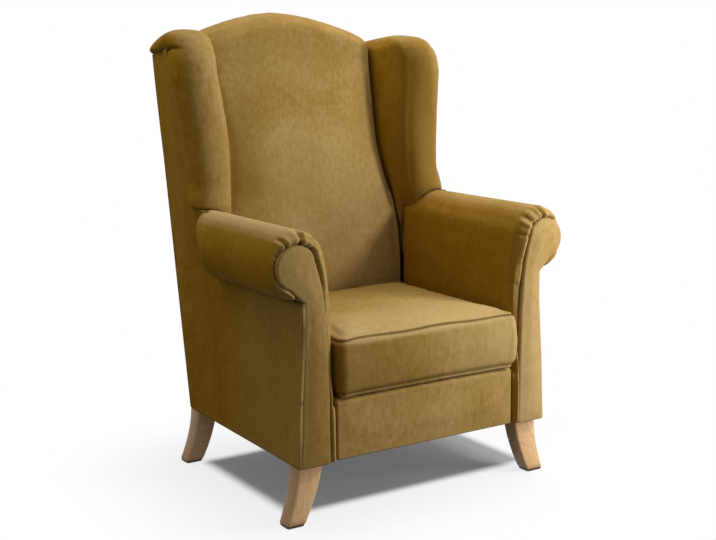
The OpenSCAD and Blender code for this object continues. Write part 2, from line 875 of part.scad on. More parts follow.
// Wings: a padded roll down the front edge that runs back on both faces to the post
arc_first = 195;
arc_step = 16;
arc_count = 11;
wing_side_shares = [0, 0.33, 0.66, 1];
function wing_ring(z, capped) =
  let (
    low = z < arm_h,
    x = wing_x(z),
    y = wing_y(z),
    r = wing_r(z),
    c = max(0, (z - cap_z) / (wing_h - cap_z)),
    keep = sqrt(1 - c * c),
    inner = back_hw_at(min(z, valley_h)) + crease_gap,
    edge_y = face_at(z),
    back_y = rear_at(z) - (capped ? 0 : pad_w),
    limit = low ? lined_at(y, z) : x + r,
    seam_y = y + seam_back - fit_gap,
    step = capped ? 0 : skin_t + crease_gap,
    ring = concat(
      [[inner, back_y], [inner, edge_y]],
      [
        for (i = [0:arc_count])
          let (a = arc_first + i * arc_step)
            [min(limit, x + r * cos(a)), y + r * sin(a)]
      ],
      [
        [low ? limit : outer_at(seam_y, z), seam_y - over],
        for (t = wing_side_shares)
          let (yy = seam_y + t * (back_y - seam_y))
            [outer_at(yy, z) - step, yy]
      ]
    ),
    mid_back = (inner + outer_at(back_y, z)) / 2
  )
  [
    for (p = ring)
      let (
        s = min(1, max(0, (p[1] - y) / (back_y - y))),
        mx = x + (mid_back - x) * s,
        my = min(max(p[1], y), back_y - (1 - keep) * r),
        q = [mx + (p[0] - mx) * keep, my + (p[1] - my) * keep]
      )
        lowered([q[0], q[1], z], min(z, cap_z))
  ];

wing_tuck = 100;
wing_foot = arm_h - wing_tuck;
wing_levels = concat(
  [wing_foot],
  [for (s = level_shares) let (z = level_z(s)) if (z > wing_foot + over && z < arm_h - 2 * over) z],
  [arm_h - over / 2, arm_h + over],
  [for (s = level_shares) let (z = level_z(s)) if (z > arm_h + 3 * over && z < cap_z - 2 * over) z],
  [cap_z - fit_gap]
);
cap_shares = [0.02, 0.4, 0.65, 0.82, 0.93, 0.98];
module wing_form() {
  loft(concat(
    [for (z = wing_levels) wing_ring(z, false)],
    [for (s = cap_shares) wing_ring(cap_z + s * cap_h, true)]
  ));
}

// Side outline of the wing board, in Y and Z
board_edge = 14;
board_top_drop = 42;
board_corner_share = 0.3;
board_shoulder_share = 0.6;
module wing_board_form(grow) {
  foot = arm_rail_z + arm_rail_h;
  top = wing_h - board_top_drop;
  knee = wing_shoulder_h + (top - wing_shoulder_h) * board_shoulder_share;
  outer = arm_rail_x + arm_rail_w - 4 * fit_gap;
  along_x(outer - wing_board_t - grow, outer + grow)
    polygon([
      [face_at(foot) - grow, foot],
      [face_at(foot) - grow, arm_h + board_edge - grow],
      [wing_y(arm_h) - board_edge - grow, arm_h + board_edge - grow],
      [wing_y(wing_shoulder_h) - board_edge - grow, wing_shoulder_h - board_edge],
      [wing_y(wing_shoulder_h) + board_edge - grow, knee],
      [wing_y(wing_shoulder_h) + corner_round * board_corner_share * 2, top + grow],
      [rear_at(post_top) - frame_w, post_top + grow],
      [rear_at(foot) - frame_w, foot]
    ]);
}

module wing_board(side) {
  color(pine)
    mirrored(side)
      wing_board_form(0);
}

module wing_pad(side) {
  color(cloth)
    mirrored(side)
      difference() {
        wing_form();
        along_y(box_front_y, face_at(roll_z) - fit_gap)
          polygon(arm_section(-crease_gap, arm_foot));
        wing_board_form(fit_gap);
        arm_rail_form(fit_gap);
        leaning_slab(-over, pad_w, leg_h, post_top + fit_gap / 2, 0, side_reach);
      }
}

// Back padding: leaning sections side by side, each with a rounded hood over the crest rail
hood_front = 45;
ridge_share = 0.7;
hood_step = 22.5;
back_stations = [-1, -0.93, -0.8, -0.6, -0.4, -0.2, 0, 0.2, 0.4, 0.6, 0.8, 0.93, 1];
function back_ring(s) =
  let (
    top = crest_at(s * crest_hw),
    proud = back_crown * (1 - pow(abs(s), crown_power)),
    pocket = top - hood_t,
    shoulder = top - hood_front,
    front = face_at(shoulder) - proud,
    ridge = rear_at(top) - hood_t * ridge_share,
    back = rear_at(top - crest_back_drop)
  )
  concat(
    [
      for (share = level_shares)
        let (z = level_z(share))
          [s * back_hw_at(z), face_at(z) - proud, z]
    ],
    [[s * crest_hw, front, shoulder]],
    [
      for (a = [180 - hood_step:-hood_step:90])
        [s * crest_hw, ridge + (ridge - front) * cos(a), shoulder + hood_front * sin(a)]
    ],
    [
      for (a = [90 - hood_step:-hood_step:0])
        [s * crest_hw, ridge + (back - ridge) * cos(a), top - crest_back_drop + crest_back_drop * sin(a)]
    ],
    [
      [s * crest_hw, rear_at(pocket), pocket],
      [s * crest_hw, rear_at(pocket) - pad_w, pocket],
      [s * crest_hw, rear_at(shoulder) - pad_w, shoulder]
    ],
    [
      for (share = reversed(level_shares))
        let (z = level_z(share))
          [s * back_hw_at(z), rear_at(z) - pad_w, z]
    ]
  );

module back_pad() {
  color(cloth)
    loft([for (s = back_stations) reversed(back_ring(s))], zipped = true);
}

// Front border: a padded strip over the front rail with a rounded top edge
border_share = 0.9875;
border_hw = seat_hw * border_share;
border_round_shares = [[0, 0.72], [0.06, 0.9], [0.2, 1]];
module front_border() {
  color(cloth)
    along_x(-border_hw, border_hw)
      polygon(concat(
        [[border_y, leg_h]],
        [for (s = border_round_shares)
          [border_y + s[0] * (border_t + rail_t), rail_top + s[1] * (border_top - rail_top)]],
        [
          [front_rail_y + rail_t, border_top], [front_rail_y + rail_t, rail_top + clip_h + 2 * fit_gap],
          [front_rail_y - fit_gap, rail_top + clip_h + 2 * fit_gap], [front_rail_y - fit_gap, leg_h]
        ]
      ));
}

// Springs: one bent wire each, from a clip on the front rail to one on the rear rail
clip_w = 18;
clip_d = 12;
clip_h = 8;
wire_sides = 6;
bend_steps = 3;
spring_front = front_rail_y + rail_t / 2;
spring_back = rear_at(rail_top) - skin_t - fit_gap - rail_t / 2;
spring_run = spring_back - spring_front;
spring_bars = 2 * floor(spring_run / loop_pitch / 2) + 1;
bar_gap = spring_run / (spring_bars - 1);

function spring_z(y) =
  let (s = (y - spring_front) / spring_run)
  rail_top + clip_h / 2 + spring_crown * 4 * s * (1 - s);

function spring_path(x) =
  [
    for (k = [0:spring_bars - 1])
      let (way = k % 2 == 0 ? 1 : -1, y = spring_front + k * bar_gap)
        each concat(
          [[x - way * bar_l / 2, y, spring_z(y)]],
          k == spring_bars - 1
            ? [[x + way * bar_l / 2, y, spring_z(y)]]
            : [
                for (i = [0:bend_steps])
                  let (a = -90 + i * 180 / (bend_steps + 1), yy = y + bar_gap / 2 * (1 + sin(a)))
                    [x + way * (bar_l / 2 + bar_gap / 2 * cos(a)), yy, spring_z(yy)]
              ]
        )
  ];

function unit(v) = v / norm(v);
module wire(path, r) {
  n = len(path);
  loft([
    for (i = [0:n - 1])
      let (
        along = unit(path[min(i + 1, n - 1)] - path[max(i - 1, 0)]),
        up = [0, 0, 1],
        across = unit(cross(along, up)),
        high = cross(across, along)
      )
        [
          for (k = [0:wire_sides - 1])
            let (a = k * turn / wire_sides)
              path[i] + r * (cos(a) * across - sin(a) * high)
        ]
  ], path[0], path[n - 1]);
}

spring_margin_share = 0.3;
spring_pitch = 2 * seat_hw / (spring_count + spring_margin_share);
function spring_xs() = [for (i = [0:spring_count - 1]) (i - (spring_count - 1) / 2) * spring_pitch];

module seat_springs() {
  color(steel)
    for (x = spring_xs())
      wire(spring_path(x), wire_d / 2);
}

module spring_clips() {
  color(steel)
    for (x = spring_xs(), y = [spring_front, spring_back])
      difference() {
        translate([x - clip_w / 2, y - clip_d / 2, rail_top])
          cube([clip_w, clip_d, clip_h]);
        translate([x - clip_w, y, rail_top + clip_h / 2])
          rotate([0, 90, 0])
            cylinder(h = 2 * clip_w, r = wire_d / 2 + fit_gap / 2);
      }
}

module tie_wires() {
  color(web_black)
    for (k = [1:tie_count])
      let (y = spring_front + spring_run * k / (tie_count + 1), reach = rail_x(y) - rail_t - fit_gap)
        translate([-reach, y, spring_z(y) + wire_d + fit_gap])
          rotate([0, 90, 0])
            cylinder(h = 2 * reach, r = wire_d / 2);
}

module seat_deck() {
  front = front_rail_y + rail_t + fit_gap;
  back = rear_at(deck_top) - frame_w;
  color(felt)
    translate([-seat_hw + fit_gap, front, deck_top - deck_t])
      cube([2 * (seat_hw - fit_gap), back - front, deck_t]);
}

dust_t = 1;
module dust_cover() {
  front = front_rail_y;
  back = rear_y - skin_t - fit_gap;
  color(black_cloth)
    difference() {
      translate([0, 0, leg_h - dust_t])
        linear_extrude(dust_t)
          polygon([
            [-rail_x(front), front], [rail_x(front), front],
            [rail_x(back), back], [-rail_x(back), back]
          ]);
      each_corner()
        let (
          p = leg_place($side, $rear),
          w = ($rear ? rear_leg_w : front_leg_w) + skin_t,
          d = ($rear ? rear_leg_d : front_leg_d) + skin_t
        )
          translate([p[0] - w / 2, p[1] - d / 2, leg_h - dust_t - over])
            cube([w, d, dust_t + 2 * over]);
    }
}

// Loose seat cushion: rings from the bottom panel up the boxing and over the crown
cushion_hw = seat_hw - 3 * fit_gap / 2;
cushion_rear = face_y - back_crown - 2 * fit_gap;
cushion_hd = (cushion_rear - front_y) / 2;
cushion_y = (cushion_rear + front_y) / 2;
cushion_foot = deck_top + fit_gap;
side_draw = 3;
// Each ring: share of the half depth that it lies inside, share of the boxing height, share of the crown
cushion_shares = [
  [0.05, 0, 0], [0, 0.025, 0], [0.011, 0.07, 0], [0.003, 0.5, 0], [0.011, 0.94, 0], [0, 1, 0],
  [0.05, 1, 0.28], [0.16, 1, 0.56], [0.34, 1, 0.8], [0.58, 1, 0.94], [0.84, 1, 0.995]
];

module cushion_form(inset) {
  rings = [
    for (s = cushion_shares)
      let (
        in = s[0] * cushion_hd + inset,
        up = s[1] * boxing_h + s[2] * cushion_crown,
        z = cushion_foot + max(inset, min(up, boxing_h + cushion_crown * s[2] - inset)),
        boxed = s[2] == 0 ? 1 : 0
      )
        [
          for (p = round_plan(
            cushion_hw - in, cushion_hd - in,
            max(fit_gap, cushion_corner_r - in), boxed * side_draw))
            [p[0], cushion_y + p[1], z]
        ]
  ];
  loft(rings);
}

module cushion_cover() {
  color(cloth)
    difference() {
      cushion_form(0);
      cushion_form(cover_t);
    }
}

module cushion_core() {
  color(foam)
    cushion_form(cover_t + fit_gap);
}

front_rail();
rear_rail();
seat_side(-1);  // left_side_rail
seat_side(1);  // right_side_rail
corner_blocks();
leg(-1, false);  // front_left_leg
leg(1, false);  // front_right_leg
leg(-1, true);  // rear_left_leg
leg(1, true);  // rear_right_leg
leg_bolts();
leg_washers();
leg_nuts();
leg_glides();
arm_post(-1);  // left_arm_post
arm_post(1);  // right_arm_post
arm_rail(-1);  // left_arm_rail
arm_rail(1);  // right_arm_rail
arm_slat(-1);  // left_arm_slat
arm_slat(1);  // right_arm_slat
back_post(-1);  // left_back_post
back_post(1);  // right_back_post
crest_rail();
lumbar_rail();
wing_board(-1);  // left_wing_board
wing_board(1);  // right_wing_board
frame_dowels();
seat_springs();
spring_clips();
tie_wires();
back_webbing();
seat_deck();
arm_pad(-1);  // left_arm_pad
arm_pad(1);  // right_arm_pad
arm_facing(-1);  // left_arm_facing
arm_facing(1);  // right_arm_facing
wing_pad(-1);  // left_wing_pad
wing_pad(1);  // right_wing_pad
outer_side(-1);  // left_outer_side
outer_side(1);  // right_outer_side
back_pad();
outer_back();
front_border();
dust_cover();
cushion_cover();
cushion_core();
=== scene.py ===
import bpy, bmesh, json, math
from contextlib import contextmanager
import numpy as np
from mathutils import Vector, Matrix
from mathutils.bvhtree import BVHTree
from mathutils.kdtree import KDTree

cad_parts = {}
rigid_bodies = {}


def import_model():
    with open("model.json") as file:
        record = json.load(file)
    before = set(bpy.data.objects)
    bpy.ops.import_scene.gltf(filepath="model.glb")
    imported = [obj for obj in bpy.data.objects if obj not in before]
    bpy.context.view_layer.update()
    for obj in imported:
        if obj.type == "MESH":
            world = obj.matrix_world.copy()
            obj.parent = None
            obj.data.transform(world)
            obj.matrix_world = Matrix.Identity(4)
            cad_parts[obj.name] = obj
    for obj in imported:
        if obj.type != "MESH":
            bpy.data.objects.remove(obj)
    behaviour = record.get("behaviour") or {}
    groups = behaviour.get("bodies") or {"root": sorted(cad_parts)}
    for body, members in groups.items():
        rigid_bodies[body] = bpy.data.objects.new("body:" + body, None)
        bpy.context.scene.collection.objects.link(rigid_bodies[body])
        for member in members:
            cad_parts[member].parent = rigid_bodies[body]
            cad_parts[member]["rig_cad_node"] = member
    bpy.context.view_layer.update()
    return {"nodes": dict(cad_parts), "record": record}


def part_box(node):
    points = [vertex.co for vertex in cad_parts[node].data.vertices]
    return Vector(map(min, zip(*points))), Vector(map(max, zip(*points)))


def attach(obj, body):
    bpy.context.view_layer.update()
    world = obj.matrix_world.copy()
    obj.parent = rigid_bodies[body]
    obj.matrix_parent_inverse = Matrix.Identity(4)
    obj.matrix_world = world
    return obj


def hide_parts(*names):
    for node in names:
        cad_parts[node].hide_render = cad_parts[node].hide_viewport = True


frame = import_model()
nodes = frame["nodes"]
scene = bpy.context.scene
print("stage: frame loaded,", len(nodes), "nodes")

# ---- camera ----
cameraSetup = {
    "place": (-1.6114, -2.6066, 1.0334),   # metres, in the row frame
    "turn": -32.35,                        # degrees off the front axis
    "down": 10.314,
    "roll": -0.709,
    "focal": 1293.0,                       # pixels, on a picture 716 wide
    "pictureWidth": 716.0,
    "sensor": 36.0,
}

def addCamera(s):
    data = bpy.data.cameras.new("studioCamera")
    data.sensor_fit = 'HORIZONTAL'
    data.sensor_width = s["sensor"]
    data.lens = s["focal"] / s["pictureWidth"] * s["sensor"]
    data.clip_start, data.clip_end = 0.05, 60
    cam = bpy.data.objects.new("studioCamera", data)
    scene.collection.objects.link(cam)
    az, dn, rl = (math.radians(s[k]) for k in ("turn", "down", "roll"))
    ahead = Vector((-math.sin(az) * math.cos(dn), math.cos(az) * math.cos(dn), -math.sin(dn)))
    right0 = Vector((math.cos(az), math.sin(az), 0))
    up0 = right0.cross(ahead)
    right = math.cos(rl) * right0 + math.sin(rl) * up0
    up = -math.sin(rl) * right0 + math.cos(rl) * up0
    turn = Matrix((right, up, -ahead)).transposed().to_4x4()
    cam.matrix_world = Matrix.Translation(Vector(s["place"])) @ turn
    scene.camera = cam

addCamera(cameraSetup)

# ---- small tools for making pieces ----
def deselectAll():
    if bpy.context.object and bpy.context.object.mode != 'OBJECT':
        bpy.ops.object.mode_set(mode='OBJECT')
    bpy.ops.object.select_all(action='DESELECT')

def makeActive(obj):
    deselectAll()
    obj.select_set(True)
    bpy.context.view_layer.objects.active = obj

def getPoints(obj):
    flat = np.empty(len(obj.data.vertices) * 3)
    obj.data.vertices.foreach_get("co", flat)
    return flat.reshape(-1, 3)

def setPoints(obj, points):
    obj.data.vertices.foreach_set("co", np.ascontiguousarray(points, dtype=np.float64).ravel())
    obj.data.update()

def getNormals(obj):
    flat = np.empty(len(obj.data.vertices) * 3)
    obj.data.vertices.foreach_get("normal", flat)
    return flat.reshape(-1, 3)

def applyModifier(obj, kind, **values):
    mod = obj.modifiers.new(kind.lower(), kind)
    for key, value in values.items():
        setattr(mod, key, value)
    makeActive(obj)
    bpy.ops.object.modifier_apply(modifier=mod.name)

def ease(t):                       # smooth step from 0 to 1
    t = np.clip(t, 0, 1)
    return t * t * (3 - 2 * t)

def hump(value, width):            # 1 at zero, falling off over the width
    return np.exp(-(value / width) ** 2)

@contextmanager
def meshOf(obj):                   # a piece's mesh, opened for a change and then written back
    bm = bmesh.new()
    bm.from_mesh(obj.data)
    yield bm
    bm.to_mesh(obj.data)
    bm.free()

def nodeCopy(nodeName, pieceName):
    obj = bpy.data.objects.new(pieceName, nodes[nodeName].data.copy())
    obj.data.name = pieceName
    obj.data.materials.clear()
    scene.collection.objects.link(obj)
    with meshOf(obj) as bm:
        bmesh.ops.remove_doubles(bm, verts=bm.verts, dist=1e-5)
        bmesh.ops.dissolve_degenerate(bm, edges=bm.edges, dist=1e-6)
        bmesh.ops.recalc_face_normals(bm, faces=bm.faces)
    for name in ("sharp_edge", "custom_normal"):
        if name in obj.data.attributes:
            obj.data.attributes.remove(obj.data.attributes[name])
    return obj

def keepOuterShell(obj):           # drops the walls inside a hollow cover
    with meshOf(obj) as bm:
        left, groups = set(bm.verts), []
        while left:
            seed = left.pop()
            group, toVisit = {seed}, [seed]
            while toVisit:
                v = toVisit.pop()
                near = {e.other_vert(v) for e in v.link_edges} & left
                left -= near
                group |= near
                toVisit += near
            groups.append(group)
        widest = max(groups, key=lambda g: max(v.co.x for v in g) - min(v.co.x for v in g))
        bmesh.ops.delete(bm, geom=[v for v in bm.verts if v not in widest], context='VERTS')
        bmesh.ops.recalc_face_normals(bm, faces=bm.faces)

def surfaceOf(obj):
    return BVHTree.FromPolygons([v.co.copy() for v in obj.data.vertices],
                                [tuple(p.vertices) for p in obj.data.polygons])

def remeshPiece(obj, voxel, smooth):
    obj.data.remesh_voxel_size = voxel
    obj.data.remesh_voxel_adaptivity = 0
    makeActive(obj)
    bpy.ops.object.voxel_remesh()
    if smooth:
        applyModifier(obj, 'SMOOTH', factor=0.5, iterations=smooth)

def holdWithin(obj, surface, proud, sunk):   # keeps each point near the piece's first surface
    points = getPoints(obj)
    for i, p in enumerate(points):
        place, normal, _, _ = surface.find_nearest(Vector(p))
        way = Vector(p) - place
        out = math.copysign(way.length, way.dot(normal))
        held = min(proud, max(-sunk, out))
        if abs(held - out) > 1e-7 and way.length > 1e-6:
            points[i] = place + way * (held / out)
    setPoints(obj, points)

def keepClear(obj, surface, gap, wanted):   # lifts the wanted points out of a neighbour
    points = getPoints(obj)
    for i in np.flatnonzero(wanted):
        place, normal, _, _ = surface.find_nearest(Vector(points[i]))
        if (Vector(points[i]) - place).dot(normal) < gap:
            points[i] = place + normal * gap
    setPoints(obj, points)

def refineNear(obj, wanted):       # halves the mesh where the wanted points are
    with meshOf(obj) as bm:
        edges = [e for e in bm.edges if all(wanted[v.index] for v in e.verts)]
        bmesh.ops.subdivide_edges(bm, edges=edges, cuts=1, use_grid_fill=True)

# how far each point lies outside a board's outline, seen from the front, and which way
def pastOutline(surface, points, level):
    far, way = np.zeros(len(points)), np.zeros((len(points), 3))
    for i, p in enumerate(points):
        q = Vector((p[0], level, p[2]))
        place, normal, _, _ = surface.find_nearest(q)
        out = math.copysign(1, (q - place).dot(normal))
        far[i] = (q - place).length * out
        way[i] = (q - place).normalized() * out
    return far, way

cloth = {"quality": 4, "mass": 0.3, "stretch": 12, "shear": 4, "bend": 0.4}   # the simulated cover

def puffPiece(obj, s):             # cloth under pressure, each point's way capped
    start = getPoints(obj)
    mod = obj.modifiers.new("puff", 'CLOTH')
    c = mod.settings
    c.quality, c.mass = cloth["quality"], cloth["mass"]
    c.tension_stiffness = c.compression_stiffness = cloth["stretch"]
    c.shear_stiffness, c.bending_stiffness = cloth["shear"], cloth["bend"]
    c.use_pressure, c.uniform_pressure_force = True, s["pressure"]
    c.effector_weights.gravity = 0
    mod.collision_settings.use_collision = False
    mod.point_cache.frame_start, mod.point_cache.frame_end = 1, s["frames"]
    for f in range(1, s["frames"] + 1):
        scene.frame_set(f)
    makeActive(obj)
    bpy.ops.object.modifier_apply(modifier=mod.name)
    scene.frame_set(1)
    move = getPoints(obj) - start
    far = np.linalg.norm(move, axis=1, keepdims=True) + 1e-9
    setPoints(obj, start + move / far * s["cap"] * np.tanh(far / s["cap"]))

def softPiece(obj, s):             # remesh, shrink, puff, hold near the solid, divide
    base = surfaceOf(obj)
    remeshPiece(obj, s["voxel"], s["smooth"])
    points = getPoints(obj)
    setPoints(obj, points - getNormals(obj) * s["shrink"])
    puffPiece(obj, s)
    low, high = s.get("still", (-2, -1))          # without these heights it is puffed all over
    share = ease((points[:, 2] - low) / (high - low))
    setPoints(obj, points + (getPoints(obj) - points) * share[:, None])
    applyModifier(obj, 'SMOOTH', factor=0.5, iterations=s["after"])
    holdWithin(obj, base, s["proud"], s["sunk"])
    applyModifier(obj, 'SMOOTH', factor=0.5, iterations=s["last"])
    if s.get("divide", True):
        applyModifier(obj, 'SUBSURF', levels=1, render_levels=1)

panelMesh = {
    "flat": 0.6, "sharp": 40,          # degrees: less is one face, more is an edge to round
    "step": 0.006, "plainBand": 0.0015,
}

def gridPiece(obj, plan, axes):    # a flat panel with a soft outline and even squares
    with meshOf(obj) as bm:
        bmesh.ops.dissolve_limit(bm, angle_limit=math.radians(panelMesh["flat"]),
                                 verts=bm.verts, edges=bm.edges)
    marks, plain = [], plan.get("plain", -1)
    with meshOf(obj) as bm:
        weight = bm.edges.layers.float.new("bevel_weight_edge")
        for e in bm.edges:
            a, b = (v.co for v in e.verts)
            hidden = max(abs(a.z - plain), abs(b.z - plain)) < panelMesh["plainBand"]
            turn = math.degrees(e.calc_face_angle(0)) if len(e.link_faces) == 2 else 0
            if turn > panelMesh["sharp"] and not hidden:
                count = max(1, int((a - b).length / panelMesh["step"]))
                marks += [a.lerp(b, k / count) for k in range(count + 1)]
                e[weight] = 1.0
    outline = KDTree(len(marks))
    for i, mark in enumerate(marks):
        outline.insert(mark, i)
    outline.balance()
    applyModifier(obj, 'BEVEL', width=plan["round"], segments=3, limit_method='WEIGHT',
                  use_clamp_overlap=True, harden_normals=False)
    with meshOf(obj) as bm:
        corners = np.array([v.co for v in bm.verts])
        low, high = corners.min(axis=0), corners.max(axis=0)
        for k in axes:
            normal = np.eye(3)[k]
            for at in np.arange(low[k] + plan["pitch"] / 2, high[k], plan["pitch"]):
                bmesh.ops.bisect_plane(bm, geom=bm.verts[:] + bm.edges[:] + bm.faces[:], dist=2e-5,
                                       plane_co=Vector(normal * at), plane_no=Vector(normal))
        bmesh.ops.triangulate(bm, faces=[f for f in bm.faces if len(f.verts) > 4])
    return outline

def crownPanel(obj, outline, plan, outward):   # swells a panel between its edges
    points, normals = getPoints(obj), getNormals(obj)
    d = np.array([outline.find(Vector(p))[2] for p in points])
    swell = plan["crown"] * ease(d / plan["reach"]) * (normals @ np.array(outward) > 0.5)
    setPoints(obj, points + np.array(outward) * swell[:, None])
    return d

def mirrorCopy(obj, name):
    other = bpy.data.objects.new(name, obj.data.copy())
    other.data.name = name
    scene.collection.objects.link(other)
    other.data.transform(Matrix.Scale(-1, 4, Vector((1, 0, 0))))
    with meshOf(other) as bm:
        bmesh.ops.reverse_faces(bm, faces=bm.faces)
    return other

def setMark(obj, name, values):    # a number per point, read by the materials
    a = obj.data.attributes.get(name) or obj.data.attributes.new(name, 'FLOAT', 'POINT')
    a.data.foreach_set("value", np.ascontiguousarray(values, dtype=np.float32))

def finishPiece(obj, body, slot, replaced, fill=None):    # with a fill, the piece is shaded smooth
    obj.data.materials.clear()
    obj.data.materials.append(slotMaterials[slot])
    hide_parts(*replaced)
    if fill is not None:
        obj.data.polygons.foreach_set("use_smooth", np.ones(len(obj.data.polygons), dtype=bool))
        obj.data.update()
    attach(obj, body)

# ---- materials ----
def addNode(tree, kind, settings=None, **sockets):
    n = tree.nodes.new(kind)
    for key, value in (settings or {}).items():
        setattr(n, key, value)
    for key, value in sockets.items():     # i0 is the first socket, From_Min the one of that name
        numbered = key[0] == "i" and key[1:].isdigit()
        socket = n.inputs[int(key[1:]) if numbered else key.replace("_", " ")]
        if isinstance(value, bpy.types.NodeSocket):
            tree.links.new(value, socket)
        else:
            socket.default_value = value
    return n

def newGroup(name, outs):          # a field over the surface: a place in, numbers out
    tree = bpy.data.node_groups.new(name, 'ShaderNodeTree')
    tree.interface.new_socket(name="Vector", in_out='INPUT', socket_type='NodeSocketVector')
    for label in outs:
        tree.interface.new_socket(name=label, in_out='OUTPUT', socket_type='NodeSocketFloat')
    vector = tree.nodes.new('NodeGroupInput').outputs["Vector"]
    return tree, vector, tree.nodes.new('NodeGroupOutput')

def addRamp(tree, fac, places, colours):
    n = addNode(tree, 'ShaderNodeValToRGB', Fac=fac)
    while len(n.color_ramp.elements) < len(places):
        n.color_ramp.elements.new(0.5)
    for element, at, colour in zip(n.color_ramp.elements, places, colours):
        element.position = at
        element.color = (*colour, 1)
    return n.outputs["Color"]

def mixColour(tree, fac, a, b, kind='MIX'):
    n = addNode(tree, 'ShaderNodeMix', {"data_type": 'RGBA', "blend_type": kind})
    for socket, value in ((n.inputs[0], fac), (n.inputs[6], a), (n.inputs[7], b)):
        if isinstance(value, bpy.types.NodeSocket):
            tree.links.new(value, socket)
        else:
            socket.default_value = (*value, 1) if isinstance(value, tuple) else value
    return n.outputs[2]

def addMath(tree, kind, a, b=0.0, clamp=False):
    settings = {"operation": kind, "use_clamp": clamp}
    return addNode(tree, 'ShaderNodeMath', settings, i0=a, i1=b).outputs[0]

def timesMath(tree, a, share, clamp=False):
    return addMath(tree, 'MULTIPLY', a, share, clamp)

def addSum(tree, a, aShare, b, bShare):
    return addMath(tree, 'ADD', timesMath(tree, a, aShare), timesMath(tree, b, bShare))

def addVectorMath(tree, kind, a, b=(0, 0, 0)):
    return addNode(tree, 'ShaderNodeVectorMath', {"operation": kind}, i0=a, i1=b).outputs[0]

def easeRange(tree, value, low, high, top=1.0):     # smooth step from 0 to top
    return addNode(tree, 'ShaderNodeMapRange', {"interpolation_type": 'SMOOTHSTEP'}, Value=value,
                   From_Min=low, From_Max=high, To_Max=top).outputs["Result"]

def addNoise(tree, vector, scale, detail=3.0, rough=0.5, twist=0.0):
    return addNode(tree, 'ShaderNodeTexNoise', Vector=vector, Scale=scale, Detail=detail,
                   Roughness=rough, Distortion=twist).outputs["Fac"]

def stretched(tree, vector, scale):
    return addNode(tree, 'ShaderNodeMapping', Vector=vector, Scale=scale).outputs["Vector"]

def turnedBy(tree, vector, turn):
    return addNode(tree, 'ShaderNodeMapping', Vector=vector, Rotation=turn).outputs["Vector"]

def readMark(tree, name):          # a number that setMark wrote on the points
    return addNode(tree, 'ShaderNodeAttribute', {"attribute_name": name}).outputs["Fac"]

def facingX(tree):                 # the X of the surface's own normal
    normal = tree.nodes.new('ShaderNodeTexCoord').outputs["Normal"]
    return addNode(tree, 'ShaderNodeSeparateXYZ', Vector=normal).outputs["X"]

def newMaterial(name):
    mat = bpy.data.materials.new(name)
    mat.use_nodes = True
    tree = mat.node_tree
    tree.nodes.clear()
    shader = tree.nodes.new('ShaderNodeBsdfPrincipled')
    out = tree.nodes.new('ShaderNodeOutputMaterial')
    tree.links.new(shader.outputs[0], out.inputs[0])
    place = tree.nodes.new('ShaderNodeTexCoord').outputs["Object"]
    return mat, tree, shader, place

# colour, roughness that rises from its least with a pattern, bump from a height, and plain values
def dressShader(tree, shader, colour, rough, bump, **values):
    tree.links.new(colour, shader.inputs["Base Color"])
    pattern, spread, least = rough
    rough = addMath(tree, 'ADD', timesMath(tree, pattern, spread), least)
    tree.links.new(rough, shader.inputs["Roughness"])
    height, distance, strength = bump
    bump = addNode(tree, 'ShaderNodeBump', Strength=strength, Distance=distance, Height=height)
    tree.links.new(bump.outputs["Normal"], shader.inputs["Normal"])
    for key, value in values.items():
        shader.inputs[key.replace("_", " ")].default_value = value

# nap of the velour: broad brushed patches, small mottling, single tufts (scales per metre)
napScale = {"patch": 7.0, "speckle": 85.0, "streak": 210.0, "tuft": 1500.0, "weave": 520.0}
napGroup, v, field = newGroup("napField", ("Patch", "Mottle", "Height"))
patch = addNoise(napGroup, v, napScale["patch"], detail=3.0, rough=0.55, twist=0.6)
speckle = addNoise(napGroup, stretched(napGroup, v, (1.0, 1.0, 0.75)), napScale["speckle"],
                   detail=5.0, rough=0.68, twist=0.5)
streak = addNoise(napGroup, stretched(napGroup, v, (1.0, 1.0, 0.15)), napScale["streak"],
                  detail=2.0)
tuft = addNoise(napGroup, v, napScale["tuft"], detail=2.0, rough=0.6)
weave = addNoise(napGroup, stretched(napGroup, v, (1.0, 1.0, 2.2)), napScale["weave"], detail=1.0)
napGroup.links.new(patch, field.inputs["Patch"])
napGroup.links.new(addSum(napGroup, speckle, 0.68, streak, 0.32), field.inputs["Mottle"])
napGroup.links.new(addSum(napGroup, tuft, 0.55, weave, 0.45), field.inputs["Height"])

velourLook = {
    "tones": (0.36, 0.5, 0.64),            # where the deep, middle and pale colours lie
    "front": ((0.295, 0.168, 0.036), (0.37, 0.232, 0.071), (0.445, 0.30, 0.116)),
    # what faces left takes these deeper, darker copies of the front colours: painted shade
    "side": ((0.285, 0.133, 0.005), (0.35, 0.175, 0.010), (0.415, 0.221, 0.026)),
    # a near-black brown, painted shade for seams, creases and folds
    "crease": (0.09, 0.040, 0.002),
    "shadeTone": (0.20, 0.107, 0.013), "highlightTone": (0.60, 0.435, 0.215),   # painted shade and painted highlight colours
    # these marks paint light and shade: shade and highlights over whole regions, highlights on
    # ridges, shade in seams, creases and folds
    "marks": (("nap", -1.5, "shadeTone"), ("nap", 1.5, "highlightTone"), ("highlightMark", 0.22, "highlightTone"),
              ("seam", 0.85, "crease")),
    "roughness": 0.82, "sheen": 0.04, "sheenRoughness": 0.42, "sheenTint": (1.0, 0.86, 0.56, 1),
    "tuftHeight": 0.0006,
}

